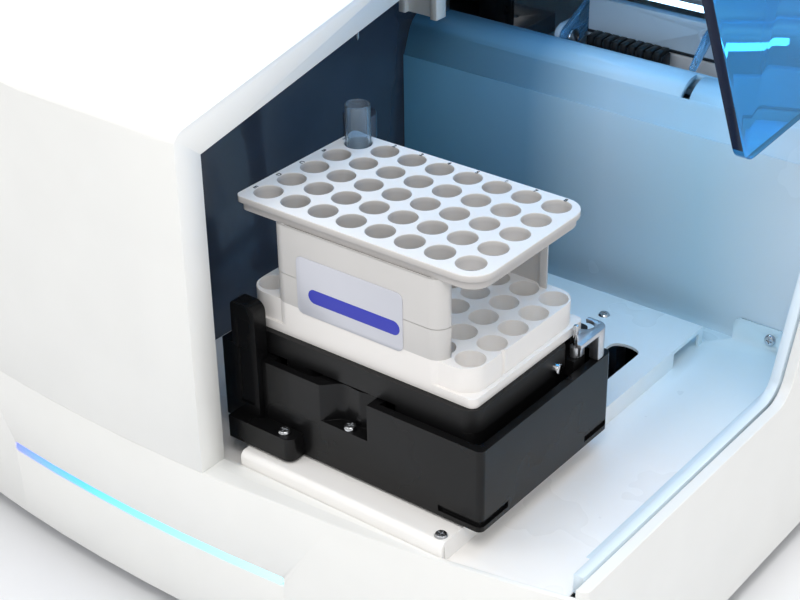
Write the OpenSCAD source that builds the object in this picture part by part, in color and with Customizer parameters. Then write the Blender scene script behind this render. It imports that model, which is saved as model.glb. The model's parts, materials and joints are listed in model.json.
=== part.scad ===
// Benchtop flow cytometer with a built-in tube sampler behind a lift-up tinted cover.
// Frame: origin on the bench under the middle of the housing, +X to the instrument's right
// (the sampler side), +Y to the back, +Z up. Rest state: cover open, sampler carriage at the front.

/* [Housing] */
// Overall width
body_w = 470; // [450:2:520]
// Overall depth
body_d = 560; // [550:2:620]
// Gap between the bench and the covers' bottom edge
bench_gap = 10; // [7:0.5:16]
// Height where the front face would meet the sloped top
front_h = 260.4; // [258:0.2:268]
// Slope of the top, degrees
top_slope = 11.2; // [10.8:0.1:12.4]
// Depth of the level strip along the back of the top
level_d = 80; // [50:2:120]
// Radius of the bowed front, seen from above
bow_r = 1000; // [900:10:1600]
// Rounding of the front top edge
brow_r = 9; // [4:1:14]
// Rounding of the upright corners
corner_r = 16; // [8:1:18]
// Wall of the moulded covers
wall = 3; // [2.5:0.5:4]
// Height of the seam between the hood and the lower front panel
deck_h = 94.5; // [93:0.5:97]
// Height of the status light
light_h = 51; // [40:1:60]
// Length of the status light
light_len = 180; // [120:5:220]

/* [Sampler bay] */
// X of the hood rim that frames the bay
rim_x = 47; // [44:1:50]
// Width of the hood's rim
rim_w = 16; // [12:1:18]
// X of the bay's dark left wall
bay_left = -32; // [-40:1:-26]
// Thickness of the right side, outer skin to bay wall
side_t = 11.5; // [10:0.5:14]
// Y of the bay's rear wall
rear_wall_y = -26.5; // [-28:0.5:-25]
// Height of the bay floor
floor_h = 91; // [90:0.5:92]
// Height of the platform over the carriage drive
platform_h = 101; // [100:0.5:102]
// Height of the shelf behind the bay
shelf_h = 217; // [214:0.5:218]
// Y where the steep part of the side's edge starts
bend_y = -78; // [-80:1:-76]
// Angle of the steep part of the side's edge, degrees
steep_a = 68; // [66:1:70]

/* [Cover] */
// Thickness of the tinted cover
cover_t = 5; // [4:0.5:6]
// Radius of the cover's low corner on the hood side
cover_corner_r = 10; // [6:1:12]
// Y of the cover's hinge axis
hinge_y = 7.5; // [6.5:0.5:8.5]
// Drop of the cover's hinge axis below the shelf
hinge_drop = 3; // [2.5:0.25:4]
// Angle the cover opens, degrees
open_a = 64; // [62:1:66]
// Radius of the hinge pins
hinge_pin_r = 3; // [2.5:0.25:4]
// Y of the cover's back edge when it is closed
cover_back_y = 58; // [56:1:60]

/* [Rack] */
// X of the rack's centre
rack_x = 105; // [104:0.5:106]
// Distance from the front to the rack's centre when the carriage is at the front
rack_in = 82.5; // [82:0.5:83]
// Height of the rack's top face
rack_h = 217; // [216:0.5:220]
// Pitch of the tube sockets
pitch = 15.5; // [15:0.1:16]
// Diameter of a tube socket
socket_d = 13.2; // [12.8:0.1:13.6]
// Diameter of a sample tube
tube_d = 12; // [11:0.1:12.4]
// Length of a sample tube
tube_len = 75; // [72:1:78]
// Overall height of the rack
rack_tall = 61.5; // [61:0.5:63]
// Length of the rack's plate-sized foot
foot_l = 127.8; // [127:0.2:128.4]
// Width of the rack's foot
foot_w = 83.4; // [82:0.2:84]
// Length of the rack's solid middle block
block_l = 92; // [88:1:96]

/* [Carriage] */
// Half-width of the carriage tub
tub_half = 74.5; // [74:0.5:76]
// Depth of the carriage tub
tub_d = 100; // [96:1:102]
// Wall of the carriage tub
tub_wall = 4; // [3:0.5:5]
// Travel of the carriage to the back
carriage_travel = 115; // [100:1:118]
// Throw of the shaker, each way
shaker_throw = 1.5; // [1:0.25:2]

/* [Probe] */
// Y of the sample probe
probe_y = -113.5; // [-116:0.5:-112]
// X of the parked probe
probe_x = 8; // [6:1:10]
// Length of the probe needle below its arm
needle_len = 41; // [38:1:42]
// Radius of the probe needle
needle_r = 0.8; // [0.6:0.1:1.2]
// Radius of the X belt's pulleys
pulley_r = 7; // [6:0.5:9]

/* [Inside] */
// Thickness of the sheet-metal chassis
sheet = 2; // [1.5:0.5:3]
// Diameter of the cooling fan
fan_d = 76; // [70:2:80]
// Bore of the sheath syringe
syringe_d = 20; // [16:1:24]

/* [Hidden] */

$fn = 48;
EPS = 0.01;
GAP = 0.3;        // clearance between parts that only pass each other
RUN = 0.05;       // radial clearance of a running fit
FINE = 96;        // facets of large round parts in previews

// ---------- derived places ----------
front_y = -body_d / 2;
rack_y = front_y + rack_in;
hinge_z = shelf_h - hinge_drop;
back_y = body_d / 2;
left_x = -body_w / 2;
right_x = body_w / 2;
bay_right = right_x - side_t;
slope = tan(top_slope);
level_y = back_y - level_d;
top_h = front_h + slope * (level_y - front_y);
skin_x = right_x - side_t / 2 + 0.3;      // inner face of the right side's outer skin
inner_x = right_x - side_t / 2 - 1.1;     // outer face of the bay wall beside it
cover_left = rim_x + 1;
side_edge_h = platform_h - 0.5;           // low edge of the right side
roof_y = cover_back_y + 2.5;              // front edge of the fixed roof
chassis_z = bench_gap + wall;             // top of the base pan's bottom sheet
platform_front = rack_y - 65;
platform_back = rear_wall_y - 15;
platform_x0 = rack_x - 49;
platform_x1 = rack_x + 64.5;
shelf_end = hinge_y - 8.5;
tub_top = rack_h - 73.5;
tub_bottom = platform_h + 1.5;
foot_z = rack_h - rack_tall;              // underside of the rack, on the tray

// ---------- outlines ----------
// Arc points that round one corner of an outline
function corner(a, p, b, r, n) =
    r <= 0 ? [p] :
    let (u = (a - p) / norm(a - p), v = (b - p) / norm(b - p),
         half = acos(max(-1, min(1, u * v))) / 2,
         c = p + (u + v) / norm(u + v) * r / sin(half),
         s = p + u * r / tan(half), e = p + v * r / tan(half),
         a0 = atan2(s.y - c.y, s.x - c.x), turn = atan2(e.y - c.y, e.x - c.x) - a0,
         sweep = turn > 180 ? turn - 360 : turn < -180 ? turn + 360 : turn)
    [for (i = [0:n]) c + r * [cos(a0 + sweep * i / n), sin(a0 + sweep * i / n)]];
// Closed outline from [x, y, radius] corners
function rounded(pts, n = 6) =
    let (k = len(pts))
    [for (i = [0:k - 1])
        let (a = pts[(i + k - 1) % k], p = pts[i], b = pts[(i + 1) % k])
        each corner([a.x, a.y], [p.x, p.y], [b.x, b.y], p[2], n)];
function top_z(y, inset = 0) =
    min(front_h + slope * (y - front_y) - inset / cos(top_slope), top_h - inset);
function bow_y(x) = front_y + bow_r - sqrt(bow_r * bow_r - x * x);
function steep_y(z) = bend_y + (z - side_edge_h) / tan(steep_a);

// Extrude a (y, z) outline along X from x0
module along_x(x0, w) { translate([x0, 0, 0]) rotate([90, 0, 90]) linear_extrude(w) children(); }
// Extrude an (x, z) outline along Y from y0
module along_y(y0, d) { translate([0, y0 + d, 0]) rotate([90, 0, 0]) linear_extrude(d) children(); }
// Extrude an (x, y) outline along Z from z0
module along_z(z0, h) { translate([0, 0, z0]) linear_extrude(h) children(); }
module block(a, b) { translate(a) cube(b - a); }
module rod_x(x0, w, r) { translate([x0, 0, 0]) rotate([0, 90, 0]) cylinder(r = r, h = w); }
module rod_y(y0, d, r) { translate([0, y0, 0]) rotate([-90, 0, 0]) cylinder(r = r, h = d); }

// Plan of the housing: bowed front, rounded upright corners
module plan(inset) {
    x = right_x - inset;
    steps = 16;
    polygon(concat(
        [for (i = [0:steps]) let (px = -x + 2 * x * i / steps) each
            i == 0 ? corner([-x, 0], [-x, bow_y(x) + inset], [-x + 25, bow_y(x - 25) + inset],
                            corner_r - inset, 5) :
            i == steps ? corner([x - 25, bow_y(x - 25) + inset], [x, bow_y(x) + inset], [x, 0], 3, 3) :
            [[px, bow_y(px) + inset]]],
        corner([x, 0], [x, back_y - inset], [-x, back_y - inset], 3, 3),
        corner([x, back_y - inset], [-x, back_y - inset], [-x, 0], corner_r - inset, 5)));
}
// Side profile of the housing from height z0 up
module profile(inset, z0) {
    polygon(rounded([
        [front_y + inset, z0, 0],
        [front_y + inset, top_z(front_y + inset, inset), brow_r - inset],
        [level_y, top_h - inset, 120],
        [back_y - inset, top_h - inset, 14 - inset],
        [back_y - inset, z0, 0]], 8));
}
module housing_form(inset, z0) {
    intersection() {
        along_x(left_x + inset, body_w - 2 * inset) profile(inset, z0);
        along_z(z0 - 1, top_h) plan(inset);
    }
}
// Outline (y, z) of the bay's right side: low edge, bend, steep edge
module side_outline(z_low, z_high) {
    polygon(rounded([
        [front_y - 1, z_low, 0], [front_y - 1, side_edge_h, 0], [bend_y, side_edge_h, 15],
        [steep_y(z_high), z_high, 0], [back_y, z_high, 0], [back_y, z_low, 0]]));
}

// ---------- housing ----------
module base_pan() color("silver") {
    vent_pitch = 9;
    pan_right = skin_x - GAP;
    difference() {
        intersection() {
            housing_form(wall + GAP, bench_gap);
            block([left_x, front_y, bench_gap], [pan_right, back_y - wall - GAP, bench_gap + 18]);
        }
        intersection() {
            housing_form(wall + GAP + sheet, chassis_z);
            block([left_x, front_y, 0], [pan_right - sheet, back_y, top_h]);
        }
        for (i = [0:13]) translate([-150 + i * vent_pitch, 120, 0]) cylinder(r = 2.5, h = 40, $fn = 24);
        for (x = foot_xs(), y = foot_ys()) translate([x, y, 0]) cylinder(r = 3, h = 40, $fn = 24);
    }
}
function foot_xs() = [-body_w / 2 + 45, body_w / 2 - 45];
function foot_ys() = [-body_d / 2 + 70, body_d / 2 - 45];
module feet() color([0.12, 0.12, 0.13]) {
    for (x = foot_xs(), y = foot_ys()) translate([x, y, 0]) {
        rotate_extrude() polygon([[0, 0], [13, 0], [14, 1], [12.5, bench_gap], [0, bench_gap]]);
        cylinder(r = 3 - RUN, h = chassis_z - 0.5);
    }
}

module lower_front_panel() color([0.95, 0.95, 0.94]) {
    lip = 12;
    difference() {
        intersection() {
            housing_form(0, bench_gap);
            block([left_x, front_y - 1, bench_gap], [skin_x - GAP, back_y - wall - 1, deck_h]);
        }
        // hollow behind the skin, open at the back
        intersection() {
            housing_form(wall, bench_gap - 1);
            block([left_x, front_y, bench_gap - 1], [right_x, back_y + 1, deck_h - wall]);
        }
        // the deck is a lip under the hood and a full sill in front of the platform
        difference() {
            housing_form(wall + lip, deck_h - wall - 1);
            block([rim_x - 8, front_y, 0], [right_x, platform_front - GAP, deck_h]);
        }
        intersection() {
            housing_form(wall, deck_h - wall - 1);
            block([rim_x - 8, platform_front - GAP, 0], [right_x, back_y, deck_h + 1]);
        }
        // light slot
        block([-light_len / 2, front_y - 1, light_h - 2.2], [light_len / 2, front_y + 20, light_h + 2.2]);
    }
}
module status_light() color([0.45, 0.85, 1]) {
    intersection() {
        difference() {
            housing_form(0, bench_gap);
            housing_form(wall + 3, bench_gap - 1);
        }
        along_y(front_y - 1, 40) polygon(rounded([
            [-light_len / 2 + GAP, light_h - 2, 1.8], [light_len / 2 - GAP, light_h - 2, 1.8],
            [light_len / 2 - GAP, light_h + 2, 1.8], [-light_len / 2 + GAP, light_h + 2, 1.8]]));
    }
}

module hood() color([0.96, 0.96, 0.95]) {
    notch_y = probe_y - 14;
    difference() {
        intersection() {
            housing_form(0, deck_h);
            block([left_x, front_y - 1, deck_h], [rim_x, back_y - wall - GAP, top_h + 1]);
        }
        intersection() {
            housing_form(wall, deck_h - 1);
            block([left_x, front_y, deck_h - 2], [rim_x - wall, back_y + 1, top_h]);
        }
        // window through the rim flange, wider where the probe gantry passes
        along_x(rim_x - wall - 1, wall + 2) polygon([
            [front_y + rim_w, deck_h - 2], [front_y + rim_w, top_z(front_y + rim_w, rim_w)],
            [notch_y, top_z(notch_y, rim_w)], [notch_y, top_z(notch_y, wall + 1)],
            [roof_y - 12, top_z(roof_y - 12, wall + 1)], [roof_y - 12, top_z(roof_y - 12, 12)],
            [back_y - 14, top_z(back_y - 14, 12)], [back_y - 14, deck_h - 2]]);
    }
}
module rear_roof() color([0.96, 0.96, 0.95]) {
    difference() {
        intersection() {
            housing_form(0, deck_h);
            block([rim_x + GAP, roof_y, top_z(roof_y) - 20], [skin_x - GAP, back_y - wall - GAP, top_h + 1]);
        }
        housing_form(wall, deck_h - 1);
        // front edge bevelled to the arc of the cover's back edge
        translate([0, hinge_y, hinge_z])
            rod_x(0, body_w, norm([cover_back_y - hinge_y, top_z(cover_back_y) - hinge_z]) + 1, $fn = FINE);
    }
}
module right_side_panel() color([0.95, 0.95, 0.94]) {
    difference() {
        intersection() {
            housing_form(0, bench_gap);
            along_x(skin_x, right_x - skin_x + 1) side_outline(bench_gap, top_h + 10);
            block([skin_x, front_y - 1, bench_gap], [right_x + 1, back_y - wall - GAP, top_h + 1]);
        }
        // pressed grip recess low on the outside
        translate([right_x + 22, 60, 45]) rotate([90, 0, 0])
            cylinder(r = 24, h = 90, center = true, $fn = FINE);
    }
}
module rear_panel() color([0.93, 0.93, 0.92]) {
    slot_rows = 9;
    difference() {
        intersection() {
            housing_form(0, bench_gap);
            block([left_x, back_y - wall, bench_gap], [right_x, back_y + 1, top_h + 1]);
        }
        // fan grille
        translate([fan_at.x, 0, fan_at.y]) for (i = [-4:4])
            let (half = sqrt(pow(fan_d / 2, 2) - pow(i * 8, 2)) - 1)
            block([-half, back_y - wall - 1, i * 8 - 2], [half, back_y + 1, i * 8 + 2]);
        // side vents
        for (i = [0:slot_rows - 1])
            block([-200, back_y - wall - 1, 120 + i * 9], [-140, back_y + 1, 123.5 + i * 9]);
        inlet_cut();
        // fluid ports
        for (i = [0:3]) translate([-40 + i * 22, 0, 40]) rod_y(back_y - wall - 1, wall + 2, 5 + RUN);
    }
}
inlet_x = 200;
inlet_z = 42;
fan_at = [110, 90];                       // x and z of the fan
tongue_x = rack_x + 33;
module inlet_cut() {
    block([inlet_x - 14, back_y - wall - 1, inlet_z - 12], [inlet_x + 14, back_y + 1, inlet_z + 12]);
    block([inlet_x - 44, back_y - wall - 1, inlet_z - 11], [inlet_x - 22, back_y + 1, inlet_z + 11]);
}

// ---------- sampler bay ----------
module bay_liner() color([0.93, 0.95, 0.97]) {
    t = wall;
    difference() {
        union() {
            // rear wall, crease, rolled shoulder and shelf
            along_x(bay_left, bay_right - bay_left + EPS) difference() {
                polygon(rounded([
                    [rear_wall_y, floor_h, 0], [rear_wall_y, shelf_h - 21.7, 0],
                    [rear_wall_y + 0.8, shelf_h - 21.7, 0], [rear_wall_y + 9, shelf_h, 15],
                    [shelf_end, shelf_h, 2], [shelf_end, shelf_h - 9, 0],
                    [shelf_end - t, shelf_h - 9, 0], [shelf_end - t, shelf_h - t, 0],
                    [rear_wall_y + 11, shelf_h - t, 13], [rear_wall_y + t, shelf_h - 24, 0],
                    [rear_wall_y + t, floor_h, 0]]));
            }
            // right wall, its edge following the side panel's
            intersection() {
                along_x(bay_right, inner_x - bay_right) side_outline(floor_h, shelf_h - 6);
                block([bay_right, bow_y(right_x) + 7, 0], [right_x, shelf_end, top_h]);
            }
            // cove between floor and right wall
            along_y(platform_front + 40, rear_wall_y - platform_front - 40 + EPS) polygon(concat(
                [[bay_right + EPS, floor_h], [bay_right + EPS, floor_h + 8]],
                [for (i = [0:6]) [bay_right - 8 + 8 * cos(-15 * i), floor_h + 8 + 8 * sin(-15 * i)]]));
        }
        // slot for the interlock tongue
        block([tongue_x - 2.5, hinge_y - 27.3, shelf_h - 22], [tongue_x + 2.5, shelf_end - 3.5, shelf_h + 5]);
    }
}
module bay_left_wall() color([0.09, 0.13, 0.2]) {
    y0 = platform_front + 1;
    along_x(bay_left - wall, wall - GAP) polygon([
        [y0, chassis_z], [y0, top_z(y0, wall + 4)], [shelf_end, top_z(shelf_end, wall + 4)],
        [shelf_end, chassis_z]]);
}
module bay_floor() color([0.94, 0.96, 0.98]) {
    t = 1.5;
    tab_x0 = rack_x + 74.5;
    tab_x1 = rack_x + 101;
    difference() {
        union() {
            intersection() {
                block([bay_left, platform_front, floor_h - t], [bay_right, rear_wall_y, floor_h]);
                along_z(0, deck_h) plan(wall + GAP);
            }
            // upturned fixing tab in the back corner
            along_y(rear_wall_y - GAP - t, t) polygon(rounded([
                [tab_x0, floor_h - t, 0], [tab_x0, floor_h + 13, 4], [tab_x1, floor_h + 13, 1],
                [tab_x1, floor_h - t, 0]]));
        }
        // opening under the platform for the carriage
        block([platform_x0 + 6, platform_front + 12, floor_h - 5],
            [platform_x1 - 6, platform_back - 6, floor_h + 5]);
        translate([tab_x1 - 5.5, 0, floor_h + 7]) rod_y(rear_wall_y - 5, 6, 2 + RUN);
    }
}
slide_slot_x0 = rack_x + 36;
slide_slot_x1 = rack_x + 52;
module platform_cover() color([0.95, 0.96, 0.98]) {
    t = 1.5;
    z0 = floor_h;
    slot_y1 = rack_y + 3 + carriage_travel;
    difference() {
        union() {
            along_x(platform_x0, platform_x1 - platform_x0) polygon(rounded([
                [platform_front, z0, 0], [platform_front, platform_h, 3],
                [platform_back, platform_h, 0], [platform_back, platform_h - t, 0],
                [platform_front + t, platform_h - t, 1.5], [platform_front + t, z0, 0]]));
            block([platform_x1 - t, platform_front + 2, z0],
                [platform_x1, platform_back, platform_h - t + EPS]);
            block([platform_x0, platform_front + 2, z0],
                [platform_x0 + t, platform_back, platform_h - t + EPS]);
        }
        // slot for the carriage's stem, rounded at its back end
        block([slide_slot_x0, rack_y - 30, z0 - 1], [slide_slot_x1, slot_y1 - 6, platform_h + 1]);
        block([slide_slot_x0 + 5, slot_y1 - 7, z0 - 1], [slide_slot_x1 - 5, slot_y1, platform_h + 1]);
        for (x = [slide_slot_x0 + 5, slide_slot_x1 - 5])
            translate([x, slot_y1 - 5.5, z0 - 1]) cylinder(r = 5, h = 20);
        // notch in the right face
        block([platform_x1 - 3, platform_back - 29, z0 - 1],
            [platform_x1 + 1, platform_back - 4, platform_h - t - 0.5]);
        for (p = platform_screw_at()) translate([p.x, p.y, 0]) {
            cylinder(r = 1.5 + RUN, h = 200, $fn = 24);
            translate([0, 0, platform_h - screw_sink]) cylinder(r = 3.1, h = 10);
        }
    }
}
screw_sink = 0.9;
function platform_screw_at() = [[rack_x + 18, platform_back - 19.5], [rack_x + 60.2, platform_front + 5.3]];
// Pan-head screw seated on a face; shank down
module pan_screw(r, shank_r, shank) {
    difference() {
        union() {
            rotate_extrude($fn = 32) polygon([[0, 0], [r, 0], [r, 0.9], [r * 0.8, 1.8], [0, 2.1]]);
            translate([0, 0, -shank]) cylinder(r = shank_r, h = shank + EPS, $fn = 24);
        }
        for (a = [0, 90]) rotate([0, 0, a]) translate([0, 0, 1.9]) cube([r * 1.1, 0.6, 1.4], center = true);
    }
}
module bay_screws() color("gainsboro") {
    for (p = platform_screw_at()) translate([p.x, p.y, platform_h - screw_sink]) pan_screw(3, 1.5, 6);
    translate([rack_x + 95.5, rear_wall_y - GAP - 1.5, floor_h + 7]) rotate([90, 0, 0]) pan_screw(3,
        1.9, 1.4);
}
module bay_light() color([0.85, 0.95, 1]) {
    // a slim bar under the gantry beam
    y = beam_y0 + 3;
    along_x(rim_x + 12, 140) polygon(rounded([
        [y, beam_z0 - 5, 2], [y + 9, beam_z0 - 5, 2], [y + 9, beam_z0, 0], [y, beam_z0, 0]]));
}
module bulkhead() color("lightgray") {
    y0 = hinge_y + 9;
    difference() {
        union() {
            block([bay_left + 4, y0, chassis_z], [bay_right + 2, y0 + sheet, hinge_z - 18]);
            block([bay_left + 4, y0, chassis_z], [bay_right + 2, y0 + 14, chassis_z + sheet]);
            block([bay_left + 4, y0, hinge_z - 18 - sheet], [bay_right + 2, y0 + 12, hinge_z - 18]);
        }
        for (x = [10, 170]) block([x, y0 - 1, 40], [x + 36, y0 + sheet + 1, 70]);
    }
}
arm_t = 3;
left_arm_x = rim_x + 4;
side_in = inner_x - cover_t;              // inner face of the cover's side wall
right_arm_x = side_in - arm_t;
module hinge_beam() color("lightgray") {
    y0 = hinge_y + 7;
    rail = hinge_z - 18;
    difference() {
        union() {
            block([rim_x + 0.5, y0, rail], [bay_right + 2, y0 + 5.5, rail + 7]);
            block([left_arm_x + arm_t + 6, y0, rail], [right_arm_x - 5, y0 + 5.5, hinge_z + 22]);
            // ledge for the cable chain
            block([rack_x - 40, shelf_end + 1.5, rail + 7], [rack_x + 12, y0 + 1, rail + 9]);
            // ears that hold the pins
            for (x = [left_arm_x - GAP - arm_t, right_arm_x - GAP - arm_t])
                along_x(x, arm_t) polygon(rounded([
                    [hinge_y - 7, hinge_z + 7, 6], [y0 + 5, hinge_z + 7, 2], [y0 + 5, rail, 0],
                    [hinge_y - 2, rail, 2], [hinge_y - 7, hinge_z - 7, 3]]));
            translate([tongue_x - 9, 0, hinge_z + 15]) rod_y(y0 - 1.2, 2, 4.2);
        }
        translate([0, hinge_y, hinge_z]) rod_x(0, body_w / 2, hinge_pin_r);
        translate([tongue_x - 9, 0, hinge_z + 15]) rod_y(y0 - 2, 2, 1.6);
    }
}
module hinge_pins() color("gainsboro") {
    head_t = 1.6;
    translate([left_arm_x - GAP - arm_t, hinge_y, hinge_z]) {
        rod_x(0, 2 * (arm_t + GAP), hinge_pin_r);
        rod_x(2 * (arm_t + GAP) - EPS, head_t, hinge_pin_r + 2);
    }
    translate([right_arm_x - GAP - arm_t, hinge_y, hinge_z]) {
        rod_x(0, 2 * arm_t, hinge_pin_r);
        rod_x(-head_t, head_t + EPS, hinge_pin_r + 2);
    }
}

// Children are drawn closed and swung to the open rest position
module opened() {
    translate([0, hinge_y, hinge_z]) rotate([-open_a, 0, 0]) translate([0, -hinge_y, -hinge_z]) children();
}
module tinted_cover() color([0.1, 0.45, 0.8, 0.5]) opened() {
    front_low = deck_h + 1;
    difference() {
        intersection() {
            housing_form(0, front_low);
            block([cover_left, front_y - 1, front_low], [inner_x, cover_back_y, top_h]);
        }
        intersection() {
            housing_form(cover_t, front_low - 2);
            block([cover_left - 1, front_y, front_low - 3], [side_in, back_y, top_h]);
        }
        // side wall: low edge, rounded corner and the steep back edge
        along_x(side_in - 1, cover_t + 2) polygon(rounded([
            [bow_y(inner_x) + cover_t + 2, front_low - 1, 0],
            [bow_y(inner_x) + cover_t + 2, side_edge_h + 0.5, 2],
            [bend_y - 1.5, side_edge_h + 0.5, 12],
            [steep_y(top_z(20)) - 1.5, top_z(20) - cover_t - 0.5, 0],
            [cover_back_y + 1, top_z(cover_back_y, cover_t), 0],
            [cover_back_y + 1, front_low - 1, 0]]));
        // rounded low corner of the front, on the hood side
        along_y(front_y - 1, 40) difference() {
            translate([cover_left - 1, front_low - 1]) square(cover_corner_r + 1);
            translate([cover_left + cover_corner_r, front_low + cover_corner_r]) circle(r = cover_corner_r);
        }
        // rebate that clears the platform's front edge
        block([platform_x1 - 22, platform_front - 0.5, front_low - 1],
            [platform_x1 + 6, platform_front + 6, platform_h + 0.5]);
    }
}
module cover_arms() color("lightsteelblue") opened() {
    difference() {
        union() {
            // left arm, hanging from the underside of the top
            along_x(left_arm_x, arm_t) polygon(rounded([
                [hinge_y - 7, hinge_z + 40, 30],
                [hinge_y - 20, top_z(hinge_y - 20, cover_t), 0],
                    [hinge_y + 36, top_z(hinge_y + 36, cover_t), 0],
                [hinge_y + 9, hinge_z + 40, 30], [hinge_y + 7, hinge_z - 7, 6],
                    [hinge_y - 7, hinge_z - 7, 6]]));
            along_x(left_arm_x, 14) polygon([
                [hinge_y - 20, top_z(hinge_y - 20, cover_t)], [hinge_y + 36, top_z(hinge_y + 36, cover_t)],
                [hinge_y + 36, top_z(hinge_y + 36, cover_t) - 2],
                    [hinge_y - 20, top_z(hinge_y - 20, cover_t) - 2]]);
            // right arm, flat on the inside of the side wall
            along_x(right_arm_x, arm_t) polygon(rounded([
                [hinge_y + 7, hinge_z - 7, 6], [hinge_y + 7, hinge_z + 9, 6],
                    [hinge_y - 22, hinge_z + 52, 14],
                [hinge_y - 62, hinge_z + 52, 10], [hinge_y - 76, hinge_z - 6, 10],
                [hinge_y - 44, hinge_z - 6, 4], [hinge_y - 36, shelf_h + 1, 4],
                    [hinge_y - 7.2, shelf_h + 1, 0.5],
                [hinge_y - 7, hinge_z - 7, 5]]));
        }
        translate([0, hinge_y, hinge_z]) rod_x(0, body_w / 2, hinge_pin_r + RUN);
    }
}
module interlock_tongue() color("lightsteelblue") opened() {
    y_front = hinge_y - 25.5;
    y_near = hinge_y - 19.3;
    along_x(tongue_x - 1.5, 3) polygon(rounded([
        [y_front, top_z(y_front, cover_t), 0], [hinge_y + 6, top_z(hinge_y + 6, cover_t), 0],
        [y_near, hinge_z + 52, 20], [y_near, hinge_z + 2, 12], [hinge_y - 16.2, hinge_z - 15, 1],
        [hinge_y - 18.6, hinge_z - 17, 1], [y_front, hinge_z + 1, 14]]));
}
module interlock_switch() color([0.15, 0.15, 0.16]) {
    y0 = rear_wall_y + wall;
    y1 = hinge_y - 10;
    block([tongue_x - 8, y0, hinge_z - 32], [tongue_x + 8, y1, hinge_z - 25]);
    for (x = [tongue_x - 8, tongue_x + 3])
        block([x, hinge_y - 22, hinge_z - 25 - EPS], [x + 5, y1 - 2, hinge_z - 11]);
}

// ---------- carriage drive ----------
rail_top = chassis_z + 31;
screw_r = 4;
screw_z = rail_top + 13;
drive_y0 = platform_front + 5;
drive_y1 = rear_wall_y - 13;
module drive_rails() color("silver") {
    deck = chassis_z + 15;
    block([rack_x - 45, drive_y0, deck], [rack_x + 60, drive_y1 + 10, deck + 6]);
    for (x = [rack_x - 38, rack_x + 50], y = [drive_y0 + 12, drive_y1 - 2])
        translate([x, y, chassis_z]) cylinder(r = 5, h = deck - chassis_z + EPS);
    for (x = [rack_x - 30, rack_x + 30])
        along_y(drive_y0 + 2, drive_y1 - drive_y0 - 4) translate([x, 0]) polygon([
            [-4.5, deck + 6], [4.5, deck + 6], [4.5, deck + 10], [3, deck + 11.5], [3, rail_top - 3],
            [4.5, rail_top - 1.5], [4.5, rail_top], [-4.5, rail_top], [-4.5, rail_top - 1.5],
            [-3, rail_top - 3], [-3, deck + 11.5], [-4.5, deck + 10]]);
    for (y = [drive_y0, drive_y1]) difference() {
        block([rack_x - 14, y, deck + 6], [rack_x + 14, y + 10, screw_z + 12]);
        translate([rack_x, 0, screw_z]) rod_y(y - 1, 12, screw_r + RUN);
    }
}
module stepper(side, depth) {
    difference() {
        translate([-side / 2, 0, -side / 2]) cube([side, depth, side]);
        for (a = [45:90:315]) rotate([0, a, 0]) translate([side * 0.68, depth / 2, 0])
            cube([4, depth + 2, 8], center = true);
    }
}
belt_z = top_z(probe_y) - 12;
belt_y = rear_wall_y + 1.5;
belt_x0 = bay_left + 14;
belt_x1 = bay_right - 24;
module stepper_motors() color([0.2, 0.2, 0.21]) {
    translate([rack_x, drive_y1 + 10, screw_z]) stepper(28, 30);
    translate([belt_x0, belt_y + 6, belt_z]) stepper(21, 20);
    translate([belt_x0, 0, belt_z]) rod_y(belt_y - GAP, 6 + GAP + EPS, 2.5 - RUN);
}
module lead_screw() color("gainsboro") {
    thread_pitch = 5;
    y0 = drive_y0 + 10;
    y1 = drive_y1;
    translate([rack_x, 0, screw_z]) difference() {
        rod_y(drive_y0, drive_y1 + 9.7 - drive_y0, screw_r);
        for (i = [1:floor((y1 - y0) / thread_pitch) - 1])
            translate([0, y0 + i * thread_pitch, 0]) rotate([-90, 0, 0]) difference() {
                cylinder(r = screw_r + 1, h = 1.2, $fn = 24);
                translate([0, 0, -1]) cylinder(r = screw_r - 0.6, h = 4, $fn = 24);
            }
    }
}
module carriage_slide() color("silver") {
    half_y = 27.5;
    stem_gap = 2;
    difference() {
        union() {
            block([rack_x - 43, rack_y - half_y, rail_top + GAP],
                [rack_x + 58, rack_y + half_y, screw_z + 13]);
            along_z(screw_z + 13 - EPS, tub_bottom - screw_z - 13 + EPS) polygon(rounded([
                [slide_slot_x0 + stem_gap, rack_y - 26, 3], [slide_slot_x1 - stem_gap, rack_y - 26, 3],
                [slide_slot_x1 - stem_gap, rack_y, 3], [slide_slot_x0 + stem_gap, rack_y, 3]]));
        }
        translate([rack_x, 0, screw_z]) rod_y(rack_y - half_y - 1, 2 * half_y + 2, screw_r + RUN);
        for (y = [rack_y - 10, rack_y + 10]) translate([rack_x - 30, y, screw_z + 5]) cylinder(r = 3, h = 20);
    }
}

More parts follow.
